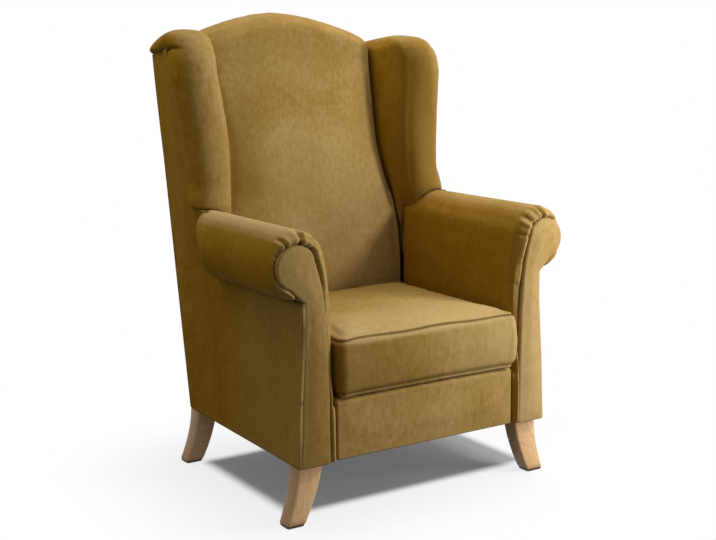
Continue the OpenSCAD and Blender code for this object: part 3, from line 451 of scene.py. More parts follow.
def makeVelour(s):
    mat, tree, shader, place = newMaterial("velour")
    nap = addNode(tree, 'ShaderNodeGroup', {"node_tree": napGroup}, Vector=place)
    tone = addSum(tree, nap.outputs["Patch"], 0.38, nap.outputs["Mottle"], 0.62)
    onFront = addRamp(tree, tone, s["tones"], s["front"])
    onSide = addRamp(tree, tone, s["tones"], s["side"])
    # left-facing surfaces are drawn in the darker side colours: painted shade
    turned = easeRange(tree, timesMath(tree, facingX(tree), -1.0), 0.25, 1.0)
    colour = mixColour(tree, turned, onFront, onSide)
    # each mark paints shade and highlights over the colour
    for mark, share, kind in s["marks"]:
        mask = timesMath(tree, readMark(tree, mark), share, True)
        colour = mixColour(tree, mask, colour, s[kind])
    dressShader(tree, shader, colour, (nap.outputs["Mottle"], 0.16, s["roughness"]),
                (nap.outputs["Height"], s["tuftHeight"], 0.7),
                Specular_IOR_Level=0.0, Sheen_Weight=s["sheen"],
                Sheen_Roughness=s["sheenRoughness"], Sheen_Tint=s["sheenTint"])
    return mat

# wood: long grain, small flecks and darker pores, along Z before it is turned (scales per metre)
woodScale = {"bend": 3.2, "grain": 95.0, "fleck": 620.0, "pore": 900.0}
woodGroup, v, field = newGroup("woodField", ("Grain", "Fleck", "Pore"))
pushed = addVectorMath(woodGroup, 'ADD', v, addNoise(woodGroup, v, woodScale["bend"], detail=2.0))
grain = addNoise(woodGroup, stretched(woodGroup, pushed, (1.0, 1.0, 0.045)), woodScale["grain"],
                 detail=4.0, rough=0.62, twist=0.8)
fleck = addNoise(woodGroup, stretched(woodGroup, v, (1.0, 1.0, 0.22)), woodScale["fleck"],
                 detail=1.0, rough=0.4)
pore = addNoise(woodGroup, stretched(woodGroup, v, (1.0, 1.0, 0.03)), woodScale["pore"],
                detail=2.0, rough=0.55)
for value, label in ((grain, "Grain"), (fleck, "Fleck"), (pore, "Pore")):
    woodGroup.links.new(value, field.inputs[label])

def makeWood(name, s):
    mat, tree, shader, place = newMaterial(name)
    along = turnedBy(tree, place, s["turn"])
    wood = addNode(tree, 'ShaderNodeGroup', {"node_tree": woodGroup}, Vector=along)
    colour = addRamp(tree, wood.outputs["Grain"], (0.3, 0.5, 0.72), s["grain"])
    flecks = addRamp(tree, wood.outputs["Fleck"], (0.60, 0.72), ((0, 0, 0), (1, 1, 1)))
    flank = easeRange(tree, addMath(tree, 'ABSOLUTE', facingX(tree)), 0.75, 0.95, s["flank"])
    flecks = timesMath(tree, flecks, s["fleck"])
    footShade = timesMath(tree, readMark(tree, "seam"), 0.6, True)
    for mask in (flecks, flank, footShade):     # flecks are the wood's own; the sides facing ±X and the foot get painted shade
        colour = mixColour(tree, mask, colour, s["fleckAndShadeColour"])
    height = addSum(tree, wood.outputs["Pore"], 1.0, wood.outputs["Grain"], 0.5)
    dressShader(tree, shader, colour, (wood.outputs["Pore"], 0.22, s["roughness"]),
                (height, s["depth"], 0.6), Specular_IOR_Level=s["gloss"],
                Coat_Weight=s["coat"], Coat_Roughness=0.3)
    return mat

# flank is how much painted shade the sides facing ±X take
beechLook = {"grain": ((0.65, 0.370, 0.165), (0.78, 0.485, 0.245), (0.87, 0.58, 0.315)),
             "fleck": 0.30, "fleckAndShadeColour": (0.36, 0.185, 0.075), "flank": 0.55, "roughness": 0.31,
             "gloss": 0.2, "coat": 0.06, "depth": 0.0002, "turn": (0, 0, 0)}
sawnLook = {"grain": ((0.42, 0.27, 0.13), (0.56, 0.40, 0.21), (0.66, 0.50, 0.29)),
            "fleck": 0.15, "fleckAndShadeColour": (0.28, 0.16, 0.07), "flank": 0.1, "roughness": 0.67,
            "gloss": 0.3, "coat": 0.0, "depth": 0.0006, "turn": (0, math.pi / 2, 0)}

def makeMetal(name, s):
    mat, tree, shader, place = newMaterial(name)
    scratch = addNoise(tree, stretched(tree, place, s["draw"]), 400.0, rough=0.6)
    colour = mixColour(tree, addNoise(tree, place, 60.0), s["dark"], s["light"])
    dressShader(tree, shader, colour, (scratch, 0.3, s["roughness"]), (scratch, 0.0001, 0.4),
                Metallic=1.0)
    return mat

zincLook = {"dark": (0.42, 0.44, 0.46), "light": (0.72, 0.73, 0.74), "roughness": 0.22,
            "draw": (1, 1, 1)}
wireLook = {"dark": (0.16, 0.165, 0.17), "light": (0.34, 0.345, 0.35), "roughness": 0.28,
            "draw": (0.1, 1, 1)}

def makeWeave(name, s):            # crossing threads on two axes of the piece
    mat, tree, shader, place = newMaterial(name)
    along = turnedBy(tree, place, s["turn"])
    warp, weft = (addNode(tree, 'ShaderNodeTexWave', {"wave_type": 'BANDS', "bands_direction": way},
                          Vector=along, Scale=s["threads"], Distortion=0.6,
                          Detail=1.0).outputs["Fac"] for way in "XY")
    dirt = addNoise(tree, place, 30.0, detail=4.0, rough=0.6)
    colour = mixColour(tree, timesMath(tree, warp, weft), s["dark"], s["light"])
    colour = mixColour(tree, timesMath(tree, dirt, 0.35), colour, s["mid"])
    dressShader(tree, shader, colour, (dirt, 0.15, s["roughness"]),
                (addMath(tree, 'ADD', warp, weft), s["depth"], 0.8), Specular_IOR_Level=0.25)
    return mat

webLook = {"dark": (0.012, 0.011, 0.010), "mid": (0.030, 0.028, 0.026),
           "light": (0.060, 0.054, 0.048), "threads": 210.0, "roughness": 0.75, "depth": 0.0004,
           "turn": (math.pi / 2, 0, 0)}
liningLook = {"dark": (0.008, 0.008, 0.008), "mid": (0.016, 0.016, 0.016),
              "light": (0.030, 0.030, 0.031), "threads": 120.0, "roughness": 0.82,
              "depth": 0.0003, "turn": (0, 0, 0)}
feltLook = {"dark": (0.17, 0.165, 0.155), "mid": (0.25, 0.245, 0.235), "light": (0.33, 0.325, 0.31),
            "threads": 150.0, "roughness": 0.84, "depth": 0.0005, "turn": (0, 0, 0)}

def makeFoam(name, s):
    mat, tree, shader, place = newMaterial(name)
    cell = addNode(tree, 'ShaderNodeTexVoronoi', Vector=place, Scale=700.0).outputs["Distance"]
    age = addNoise(tree, place, 8.0, detail=4.0, rough=0.6)
    colour = addRamp(tree, age, (0.3, 0.7), (s["aged"], s["fresh"]))
    colour = mixColour(tree, timesMath(tree, cell, 0.5), s["aged"], colour)
    dressShader(tree, shader, colour, (cell, 0.2, 0.75), (cell, 0.0006, 0.8))
    return mat

foamLook = {"aged": (0.62, 0.50, 0.24), "fresh": (0.80, 0.72, 0.45)}

def makeGlide(name, s):
    mat, tree, shader, place = newMaterial(name)
    grit = addNoise(tree, place, 900.0, rough=0.6)
    colour = mixColour(tree, grit, s["dark"], s["light"])
    dressShader(tree, shader, colour, (grit, 0.2, 0.5), (grit, 0.0002, 0.5))
    return mat

glideLook = {"dark": (0.045, 0.034, 0.024), "light": (0.085, 0.064, 0.045)}

slotMaterials = {
    "velour": makeVelour(velourLook), "beech": makeWood("beech", beechLook),
    "frame_wood": makeWood("sawnWood", sawnLook),
    "hardware_steel": makeMetal("zincSteel", zincLook),
    "spring_steel": makeMetal("springWire", wireLook), "webbing": makeWeave("webCloth", webLook),
    "lining": makeWeave("liningCloth", liningLook), "felt": makeWeave("feltCloth", feltLook),
    "foam": makeFoam("seatFoam", foamLook), "glide_plastic": makeGlide("glideRubber", glideLook),
}
for part in frame["record"]["subparts"]:
    obj, material = nodes[part["node"]], slotMaterials[part["material_slot"]]
    if not obj.material_slots:
        obj.data.materials.append(material)
    for slot in obj.material_slots:
        slot.material = material
print("stage: materials made")

# ---- loose seat cushion ----
cushionPad = {
    "voxel": 0.0066, "smooth": 5, "shrink": 0.004, "cap": 0.014, "pressure": 8, "frames": 16,
    "proud": 0.0015, "sunk": 0.0022, "after": 4, "last": 3,
    "topSeam": 0.1265, "lowSeam": 0.004,      # heights of the seams over the cushion's foot
    "fineFrom": -0.31, "fineTop": 0.012, "fineFoot": 0.016,    # finer mesh in front, near the seams
    "corner": 0.030, "boxing": (2.4, 10.0),   # round of the front corners, how square each is drawn
    "wave": 0.0012, "sag": 0.002, "sagFrom": 0.19,     # the top seam wanders, and its ends fall
    "groove": 0.0030, "grooveWidth": 0.0022, "lip": 0.0011, "lipAt": 0.0062, "lipWidth": 0.0032,
    "welt": 0.0030, "weltWidth": 0.0030, "overWelt": 0.008, "overGroove": 0.0012,
    "belly": 0.0035, "bellyAt": 0.064, "bellyTall": 0.07,
    "armFront": -0.351,                       # the boxing only swells past the arms
    "dent": 0.0016, "dentFrom": 0.125,        # soft hollows over the top
}

def squareCorners(points, low, high, s):
    r = s["corner"]
    u = (np.abs(points[:, 0]) - (high.x - r)) / r
    w = (low.y + r - points[:, 1]) / r
    on = (u > 0) & (w > 0)
    u, w = np.maximum(u, 1e-4), np.maximum(w, 1e-4)
    power = np.where(points[:, 0] < 0, *s["boxing"])
    square = np.hypot(u, w) / (u ** power + w ** power) ** (1 / power)
    drawn = np.minimum(np.stack((u * square, w * square)), 1.0)
    points[:, 0] = np.where(on, np.sign(points[:, 0]) * (high.x - r + drawn[0] * r), points[:, 0])
    points[:, 1] = np.where(on, low.y + r - drawn[1] * r, points[:, 1])

def makeCushion(s):
    obj = nodeCopy("cushion_cover", "seatCushion")
    keepOuterShell(obj)
    softPiece(obj, s)
    low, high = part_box("cushion_cover")
    points = getPoints(obj)
    over = points[:, 2] - low.z
    nearSeam = (np.abs(over - s["topSeam"]) < s["fineTop"]) | (over < s["fineFoot"])
    refineNear(obj, (points[:, 1] < s["fineFrom"]) & nearSeam)
    points = getPoints(obj)
    squareCorners(points, low, high, s)
    setPoints(obj, points)
    normals = getNormals(obj)
    x, y, z = points[:, 0], points[:, 1], points[:, 2] - low.z    # x and y follow the moves below
    side = np.clip(np.hypot(normals[:, 0], normals[:, 1]) * 1.15, 0, 1)
    out = normals * np.array([1, 1, 0])
    out /= np.linalg.norm(out, axis=1, keepdims=True) + 1e-6
    wave = s["wave"] * (np.sin(x * 31 + 0.6) + 0.5 * np.sin(y * 47))
    wave -= s["sag"] * ease((np.abs(x) - s["sagFrom"]) / 0.05)
    top = hump(z - s["topSeam"] - wave, s["grooveWidth"])
    lips = hump(np.abs(z - s["topSeam"] - wave) - s["lipAt"], s["lipWidth"])
    points += out * ((lips * s["lip"] - top * s["groove"]) * side)[:, None]
    foot = hump(z - s["lowSeam"] - 0.5 * wave, s["weltWidth"])
    over = hump(z - s["lowSeam"] - s["overWelt"], s["weltWidth"])
    points += out * ((foot * s["welt"] - over * s["overGroove"]) * ease(side * 2))[:, None]
    middle = ease(1 - np.abs(z - s["bellyAt"]) / s["bellyTall"])
    free = ease((s["armFront"] - y) / 0.006)
    points += out * (s["belly"] * middle * side * free)[:, None]
    dents = 0.5 + 0.5 * np.sin(x * 23 + 2.1 * np.sin(y * 9 + 1))
    points[:, 2] -= s["dent"] * dents * ease((z - s["dentFrom"]) / 0.012)
    setPoints(obj, points)
    # painted shade in the seam grooves, painted highlight on the welt and beside the top seam
    turned = np.clip(side * 2.4 - 0.3, 0, 1)
    setMark(obj, "seam", np.clip(top * turned + 0.55 * over * side, 0, 1))
    setMark(obj, "highlightMark", np.clip(foot * side * 0.8 + lips * side * 0.35, 0, 1))
    upward = ease((normals[:, 2] - 0.05) / 0.35)
    onTop = 0.60 * ease(-y / 0.32) - 0.36                 # painted light and shade: the top paler towards the front, darker at the back
    onSide = 0.52 * ease((x + 0.24) / 0.48) - 0.32        # painted light and shade: the sides paler towards the right, darker at the left
    setMark(obj, "nap", upward * onTop + (1 - upward) * onSide)
    finishPiece(obj, "seat_cushion", "velour", ["cushion_cover"], fill=0.85)

foamPlan = {"voxel": 0.011, "smooth": 6, "share": (0.93, 0.93, 0.76)}    # wadding takes the rest

def makeFoamCore(s):
    obj = nodeCopy("cushion_core", "foamCore")
    remeshPiece(obj, s["voxel"], s["smooth"])
    points = getPoints(obj)
    middle = (points.min(axis=0) + points.max(axis=0)) / 2
    setPoints(obj, middle + (points - middle) * s["share"])
    finishPiece(obj, "seat_cushion", "foam", ["cushion_core"], fill=0.9)

makeCushion(cushionPad)
makeFoamCore(foamPlan)
print("stage: seat cushion made")

# ---- back padding, with its hood over the crest ----
backPad = {
    "voxel": 0.008, "smooth": 5, "shrink": 0.004, "cap": 0.012, "pressure": 8, "frames": 14,
    "proud": 0.001, "sunk": 0.003, "after": 5, "last": 3,
    "edge": 0.022, "edgeFrom": 0.228, "hoodBack": 0.33,    # painted shade along the edges beside the wings
    "ripple": 0.0008,
    "bulge": 0.006, "bulgeFrom": 0.222, "bulgeTop": 0.66, "bulgeBack": 0.2,   # beside the arms
}

def makeBack(s):
    obj = nodeCopy("back_pad", "backCushion")
    softPiece(obj, s)
    points, normals = getPoints(obj), getNormals(obj)
    x, y, z = points.T                 # views that follow the moves below
    edge = ease((np.abs(x) - s["edgeFrom"]) / s["edge"]) * (y < s["hoodBack"])
    y += s["ripple"] * np.sin(x * 17 + z * 6) * (normals[:, 1] < -0.4)
    lowEdge = ease((np.abs(x) - s["bulgeFrom"]) / 0.02) * ease((s["bulgeTop"] - z) / 0.04)
    y -= s["bulge"] * lowEdge * (y < s["bulgeBack"])
    setPoints(obj, points)
    # painted shade along the side edges, then painted light and shade on the front: darker at the
    # left and over the top, paler lower in the middle
    setMark(obj, "seam", 0.5 * edge * (np.abs(normals[:, 0]) > 0.5))
    left = ease((-0.05 - x) / 0.15) * ease((0.98 - z) / 0.25)
    low, middle, top = ease((0.70 - z) / 0.15), ease((0.90 - z) / 0.15), ease((z - 0.93) / 0.08)
    backShading = 0.10 * middle * (1 - left) - 0.38 * left * (1 - low) - 0.12 * top - 0.03
    setMark(obj, "nap", backShading * (normals[:, 1] < -0.3))
    finishPiece(obj, "chair", "velour", ["back_pad"], fill=0.8)

makeBack(backPad)
print("stage: back made")

# ---- wings ----
wingPad = {
    "voxel": 0.006, "smooth": 4, "shrink": 0.003, "cap": 0.010, "pressure": 8, "frames": 14,
    "proud": 0.0015, "sunk": 0.003, "after": 6, "last": 7,
    "flushGap": 0.0030,                # the pad lies this far under the outer cover behind its seam
    "slit": 1.010, "tuck": 0.005, "tuckTall": 0.0035,        # the crease under the cap
    "capRoll": 0.008, "capTall": 0.034, "capBack": 0.112,    # the cap over it, and where both begin
    "fall": 0.022, "fallFrom": (0.16, 0.903), "fallOver": (0.19, 0.107),   # its drop to the back
    "belly": 0.008, "bellyAt": 0.80, "bellyTall": 0.12,      # the roll is drawn in at half height
    "flare": 0.010, "lowEnd": 0.705,   # the left roll spreads below this height
    "kick": 0.009, "droop": 0.010, "rollBack": 0.138,    # the right roll spreads further, and sags
    "seat": 0.006, "apron": 0.085,     # the lower end settles on the arm, with a skirt behind it
}

def flushWithCover(obj, gap):          # fills the step that the outer cover lies in
    cover = surfaceOf(nodes["left_outer_side"])
    left = Vector((-1, 0, 0))
    with meshOf(obj) as bm:
        for v in bm.verts:
            inner = cover.ray_cast(v.co - left * 0.001, left, 0.014)[0]
            if inner is not None:
                outer = cover.ray_cast(inner + left * 0.0005, left, 0.03)[0]
                if outer is not None:
                    v.co.x = outer.x + gap

def makeWing(s):
    obj = nodeCopy("left_wing_pad", "leftWing")
    flushWithCover(obj, s["flushGap"])
    softPiece(obj, s)
    points, normals = getPoints(obj), getNormals(obj)
    x, y, z = points.T.copy()
    up, along = (np.clip((v - start) / span, 0, 1)
                 for v, start, span in zip((z, y), s["fallFrom"][::-1], s["fallOver"][::-1]))
    over = z + s["fall"] * up * along - s["slit"]            # height over the crease
    flank = (normals[:, 0] < -0.2) & (y > 0.08)
    back = ease((y - s["capBack"]) / 0.03)
    roll = np.sin(np.clip(over / s["capTall"], 0, 1) * math.pi) * (over > 0) * back * flank
    tuck = hump(over + 0.003, s["tuckTall"]) * back * flank
    points[:, 0] += s["tuck"] * tuck - s["capRoll"] * roll * ease((y - 0.12) / 0.06)
    inside = ease((0.165 - y) / 0.05) * ease((x + 0.31) / 0.04)
    points[:, 0] += s["belly"] * hump(z - s["bellyAt"], s["bellyTall"]) * inside
    outside = ease((-x - 0.30) / 0.03) * ease((0.150 - y) / 0.02)
    points[:, 0] -= s["flare"] * ease((s["lowEnd"] - z) / 0.07) * outside
    points[:, 2] -= s["seat"] * ease((0.680 - z) / 0.03) * ease((0.135 - y) / 0.01)
    apron = ease((s["lowEnd"] - z) / 0.03) * ease((y - 0.115) / 0.025) * ease((x + 0.285) / 0.02)
    points[:, 2] -= s["apron"] * apron
    setPoints(obj, points)
    keepClear(obj, surfaceOf(nodes["back_pad"]), 0.0008, apron > 0.02)
    # painted shade in the crease under the cap
    setMark(obj, "seam", np.clip(tuck, 0, 1))
    return obj

def nudgeTop(obj, highFrom, highOver, rise, drop, out):    # sewn wing tops differ a little
    points = getPoints(obj)
    x, y, z = points.T                 # views that follow the moves below
    high, behind = ease((z - highFrom) / highOver), ease((y - 0.16) / 0.12)
    z += high * (rise * behind - drop * (1 - 0.4 * behind))
    x -= out * behind * ease((z - 0.975) / 0.03)
    setPoints(obj, points)

def rollOut(obj, s):                   # the right roll spreads and sags over its arm
    points = getPoints(obj)
    x, y, z = points.T                 # views that follow the moves below
    front = ease((s["rollBack"] - y) / 0.02)
    x += s["kick"] * ease((0.72 - z) / 0.09) * ease((x - 0.30) / 0.03) * front
    z -= s["droop"] * ease((0.670 - z) / 0.02) * ease((x - 0.335) / 0.025) * (y < s["rollBack"])
    setPoints(obj, points)
    # painted shade over the right wing, deepest on its front roll
    setMark(obj, "nap", -0.10 - 0.42 * ease((0.185 - y) / 0.09) * ease((0.350 - x) / 0.04))

leftWing = makeWing(wingPad)
rightWing = mirrorCopy(leftWing, "rightWing")
nudgeTop(leftWing, 1.0, 0.035, rise=0.009, drop=-0.013, out=0.012)
nudgeTop(rightWing, 0.93, 0.09, rise=0.0, drop=0.007, out=0.0)
rollOut(rightWing, wingPad)
finishPiece(leftWing, "chair", "velour", ["left_wing_pad"], fill=0.8)
finishPiece(rightWing, "chair", "velour", ["right_wing_pad"], fill=0.8)
print("stage: wings made")

# ---- arms ----
armPad = {
    "voxel": 0.004, "smooth": 4, "shrink": 0.003, "cap": 0.010, "pressure": 8, "frames": 14,
    "proud": 0.0015, "sunk": 0.002, "after": 5, "last": 5, "divide": False,
    "still": (0.22, 0.32),    # the puffing fades in between these heights, over a thin foot
    "polish": 16, "polishFrom": 0.50,  # extra smoothing of the roll, above this height
    "scroll": (0.330, 0.566), "front": -0.350, "boardLevel": -0.346, "fineFrom": -0.290,
    # the lip round the facing: how far it swells, and its half width at the foot and at the scroll
    "lip": 0.0085, "lipFoot": 0.0068, "lipScroll": 0.0115, "lipReach": 0.026,
    "groove": 0.0012, "cleft": 0.0020, "drawIn": 0.0018,     # the seam between lip and facing
    # creases round the scroll: degrees from the top towards the seat, depth, width, reach back
    "creases": [(-86, 0.0011, 3.0, 0.020), (-71, 0.0017, 3.0, 0.024), (-58, 0.0026, 3.2, 0.030),
                (-46, 0.0014, 3.0, 0.022), (-26, 0.0044, 3.4, 0.042), (11, 0.0058, 4.6, 0.046),
                (18, -0.0022, 3.6, 0.038), (44, 0.0030, 4.4, 0.036), (56, -0.0012, 3.6, 0.030),
                (78, 0.0020, 3.8, 0.030)],
    "heel": 0.045,                     # how far the top of the roll runs on under the wing
    "under": 0.503,                    # height below which the roll's underside takes painted shade
}

def makeArm(s):
    obj = nodeCopy("left_arm_pad", "leftArm")
    softPiece(obj, s)
    points = getPoints(obj)
    applyModifier(obj, 'SMOOTH', factor=0.5, iterations=s["polish"])
    share = ease((points[:, 2] - s["polishFrom"]) / 0.05)
    setPoints(obj, points + (getPoints(obj) - points) * share[:, None])
    refineNear(obj, getPoints(obj)[:, 1] < s["fineFrom"])
    points, normals = getPoints(obj), getNormals(obj)
    x, y, z = points.T.copy()
    behind = y - s["front"]
    near = np.flatnonzero(behind < 0.05)
    past, way = np.ones(len(points)), np.zeros((len(points), 3))
    board = surfaceOf(nodes["left_arm_facing"])
    past[near], way[near] = pastOutline(board, points[near], s["boardLevel"])
    wide = s["lipFoot"] + (s["lipScroll"] - s["lipFoot"]) * ease((z - 0.49) / 0.07)
    fade = ease(1 - behind / s["lipReach"])
    cleft = hump(past, s["cleft"]) * fade
    points[:, 1] += s["groove"] * cleft - s["lip"] * hump(past - wide, 0.72 * wide) * fade
    points -= way * (s["drawIn"] * hump(past, 0.004) * fade * (past > 0.0012))[:, None]
    dx, dz = -x - s["scroll"][0], z - s["scroll"][1]
    turn = np.degrees(np.arctan2(-dx, dz))            # 0 at the top, positive towards the seat
    head = ease((np.hypot(dx, dz) - 0.035) / 0.01) * (dz > -0.06)
    seam, shift = np.zeros(len(points)), np.zeros(len(points))
    for at, depth, width, reach in s["creases"]:
        off = turn - at
        keep = ease(1 - behind / reach) * head
        beside = hump(off - 2.3 * width, 1.2 * width) + hump(off + 2.3 * width, 1.2 * width)
        shift += depth * (0.3 * beside - hump(off, width)) * keep
        seam += hump(off, width * 0.55) * keep * np.clip(depth / 0.004, 0, 1)
    points += normals * shift[:, None]
    top = ease((z - 0.555) / 0.075) * ease((-x - 0.300) / 0.02)
    points[:, 1] += s["heel"] * top * ease((y + 0.07) / 0.09)
    setPoints(obj, points)
    # painted shade in the creases, in the cleft round the facing and under the roll; painted
    # highlight on the lip
    under = ease((s["under"] - z) / 0.012) * ease((-x - 0.322) / 0.01)
    setMark(obj, "seam", np.clip(seam * 0.7 + cleft * 0.9 + under * 0.6, 0, 1))
    setMark(obj, "highlightMark", hump(past - wide, 0.5 * wide) * fade)
    return obj

leftArm = makeArm(armPad)
rightArm = mirrorCopy(leftArm, "rightArm")
# painted highlight over the left roll's top; painted shade on the right arm's left-facing inner
# side
setMark(leftArm, "nap", 0.30 * ease((getNormals(leftArm)[:, 2] - 0.55) / 0.45))
setMark(rightArm, "nap", -0.20 * ease((-getNormals(rightArm)[:, 0] - 0.5) / 0.4))
finishPiece(leftArm, "chair", "velour", ["left_arm_pad"], fill=0.85)
finishPiece(rightArm, "chair", "velour", ["right_arm_pad"], fill=0.85)
print("stage: arms made")

# ---- covered boards and panels ----
panelPlans = {
    "facing": {"pitch": 0.006, "round": 0.0045, "crown": 0.0035, "reach": 0.030},
    "side": {"pitch": 0.012, "round": 0.0025, "crown": 0.0015, "reach": 0.050,
             "plain": 0.6415},         # height of the hairline cut under the wing, left sharp
    "border": {"pitch": 0.008, "round": 0.0045, "crown": 0.0045, "reach": 0.060},
    "rear": {"pitch": 0.014, "round": 0.0025, "crown": 0.0015, "reach": 0.080},
    "under": {"pitch": 0.020, "round": 0.0004, "crown": 0.0, "reach": 0.05},
    "deck": {"pitch": 0.016, "round": 0.004, "crown": -0.003, "reach": 0.09},
    "strap": {"pitch": 0.012, "round": 0.0004, "crown": 0.0, "reach": 0.02},
}
panelMoves = {
    "spread": 0.0022,                  # a facing's edge swells towards the lip round it
    "rise": 0.009, "riseFrom": 0.95,   # an outer side's top goes up under the wing's cap
    "riseBack": 0.200,                 # but not its front corner
    "sink": 0.004, "lean": 0.003,      # its front edge goes into the roll, its rear top outwards
    "tuckIn": 0.006, "lift": 0.003,    # the right one's front edge, back and off the facing
    "press": 0.004, "between": 0.28,   # the straps are pressed back between the posts
}

def softPanel(nodeName, pieceName, plan, axes, outward):
    obj = nodeCopy(nodeName, pieceName)
    outline = gridPiece(obj, plan, axes)
    d = crownPanel(obj, outline, plan, outward)
    # painted highlight just inside the rounded edges, painted shade along the edges
    setMark(obj, "highlightMark", 0.5 * hump(np.abs(d - 0.004), 0.003))
    setMark(obj, "seam", 0.7 * hump(d, 0.002))
    return obj

def shapeSide(obj, s):
    points = getPoints(obj)
    x, y, z = points.T                 # views that follow the moves below
    z += s["rise"] * ease((z - s["riseFrom"]) / 0.045) * ease((y - s["riseBack"]) / 0.03)
    x -= s["lean"] * ease((y - 0.25) / 0.08) * ease((z - 0.5) / 0.4)
    foreEdge = 0.157 + 0.115 * (z - 0.75)              # where the cover meets the wing's roll
    x += s["sink"] * ease(1 - (y - foreEdge) / 0.014) * ease((z - 0.66) / 0.04)
    setPoints(obj, points)

def tuckRightSide(obj, s):
    points = getPoints(obj)
    x, y = points[:, 0], points[:, 1]
    y += s["tuckIn"] * ease((-0.335 - y) / 0.015)
    x -= s["lift"] * ease((-0.325 - y) / 0.02)
    setPoints(obj, points)

leftFacing = softPanel("left_arm_facing", "leftFacing", panelPlans["facing"], (0, 2), (0, -1, 0))
spread = getNormals(leftFacing) * np.array([1, 0, 1]) * panelMoves["spread"]
setPoints(leftFacing, getPoints(leftFacing) + spread)
rightFacing = mirrorCopy(leftFacing, "rightFacing")
# painted light and shade: the left facing darker and the right one paler at the foot, both alike
# towards the top
for facing, foot, top in ((leftFacing, -0.22, 0.10), (rightFacing, 0.27, 0.10)):
    setMark(facing, "nap", foot + (top - foot) * ease((getPoints(facing)[:, 2] - 0.30) / 0.25))

leftSide = softPanel("left_outer_side", "leftOuterCover", panelPlans["side"], (1, 2), (-1, 0, 0))
shapeSide(leftSide, panelMoves)
rightSide = mirrorCopy(leftSide, "rightOuterCover")
tuckRightSide(rightSide, panelMoves)
# painted light: the left outer cover paler towards the front
setMark(leftSide, "nap", 0.10 * ease((0.05 - getPoints(leftSide)[:, 1]) / 0.25))

rearCover = softPanel("outer_back", "rearCover", panelPlans["rear"], (0, 2), (0, 0.986, -0.167))
frontBorder = softPanel("front_border", "frontBorder", panelPlans["border"], (0, 2), (0, -1, 0))
deckCover = softPanel("seat_deck", "deckCover", panelPlans["deck"], (0, 1), (0, 0, 1))
underCloth = softPanel("dust_cover", "underCloth", panelPlans["under"], (0, 1), (0, 0, -1))
backStraps = softPanel("back_webbing", "backStraps", panelPlans["strap"], (0, 2), (0, -1, 0))
straps = getPoints(backStraps)
sideways = np.clip(np.abs(straps[:, 0]) / panelMoves["between"], 0, 1)
straps[:, 1] += panelMoves["press"] * (1 - sideways ** 2)
setPoints(backStraps, straps)

for panel, slot, nodeName in (
        (backStraps, "webbing", "back_webbing"), (leftFacing, "velour", "left_arm_facing"),
        (rightFacing, "velour", "right_arm_facing"), (leftSide, "velour", "left_outer_side"),
        (rightSide, "velour", "right_outer_side"), (rearCover, "velour", "outer_back"),
        (frontBorder, "velour", "front_border"), (deckCover, "felt", "seat_deck"),
        (underCloth, "lining", "dust_cover")):
    finishPiece(panel, "chair", slot, [nodeName], fill=0.9)
print("stage: panels made")

# ---- legs ----
legPlans = {
    "front": {"top": (0.060, 0.046), "foot": (0.045, 0.040), "sweep": 0.036, "kick": 0.0},
    "rear": {"top": (0.052, 0.042), "foot": (0.045, 0.040), "sweep": 0.025, "kick": 0.026},
    "height": 0.138, "lift": 0.004, "curve": 1.65, "steps": 10,
    "edge": 0.0045, "edgeOver": 50, "smoothUnder": 35,       # degrees
    # height and fade of the painted shade at the foot
    "footShadeTop": 0.014, "footShadeFade": 0.008,
}

def makeLeg(name, nodeName, plan, s, side):
    low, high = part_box(nodeName)
    topX = (high.x - plan["top"][0] / 2) if side < 0 else (low.x + plan["top"][0] / 2)
    topY = low.y + plan["top"][1] / 2
    deselectAll()
    bpy.ops.mesh.primitive_plane_add(size=1, location=(topX, topY, s["height"]))
    obj = bpy.context.object
    obj.name = obj.data.name = name
    bpy.ops.transform.resize(value=(*plan["top"], 1))
    bpy.ops.object.transform_apply(location=True, rotation=True, scale=True)
    bpy.ops.object.mode_set(mode='EDIT')
    bpy.ops.mesh.select_all(action='SELECT')
    last = (0.0, 0.0, s["height"], *plan["top"])
    for i in range(1, s["steps"] + 1):
        t = i / s["steps"]
        out = t ** s["curve"]
        now = (side * plan["sweep"] * out, plan["kick"] * out,
               s["height"] - (s["height"] - s["lift"]) * t,
               *(a + (b - a) * t for a, b in zip(plan["top"], plan["foot"])))
        step = tuple(a - b for a, b in zip(now[:3], last[:3]))
        bpy.ops.mesh.extrude_region_move(TRANSFORM_OT_translate={"value": step})
        bpy.ops.transform.resize(value=(now[3] / last[3], now[4] / last[4], 1),
                                 center_override=(topX + now[0], topY + now[1], now[2]))
        last = now
    bpy.ops.mesh.select_all(action='SELECT')
    bpy.ops.mesh.normals_make_consistent(inside=False)
    bpy.ops.object.mode_set(mode='OBJECT')
    applyModifier(obj, 'BEVEL', width=s["edge"], segments=3, limit_method='ANGLE',
                  angle_limit=math.radians(s["edgeOver"]))
    bpy.ops.object.shade_smooth_by_angle(angle=math.radians(s["smoothUnder"]))
    # the foot is darkened towards the floor: painted shade
    setMark(obj, "seam", ease((s["footShadeTop"] - getPoints(obj)[:, 2]) / s["footShadeFade"]))
    finishPiece(obj, "chair", "beech", [nodeName])

makeLeg("frontLeftLeg", "front_left_leg", legPlans["front"], legPlans, -1)
makeLeg("frontRightLeg", "front_right_leg", legPlans["front"], legPlans, 1)
makeLeg("rearLeftLeg", "rear_left_leg", legPlans["rear"], legPlans, -1)
makeLeg("rearRightLeg", "rear_right_leg", legPlans["rear"], legPlans, 1)
print("stage: legs made")

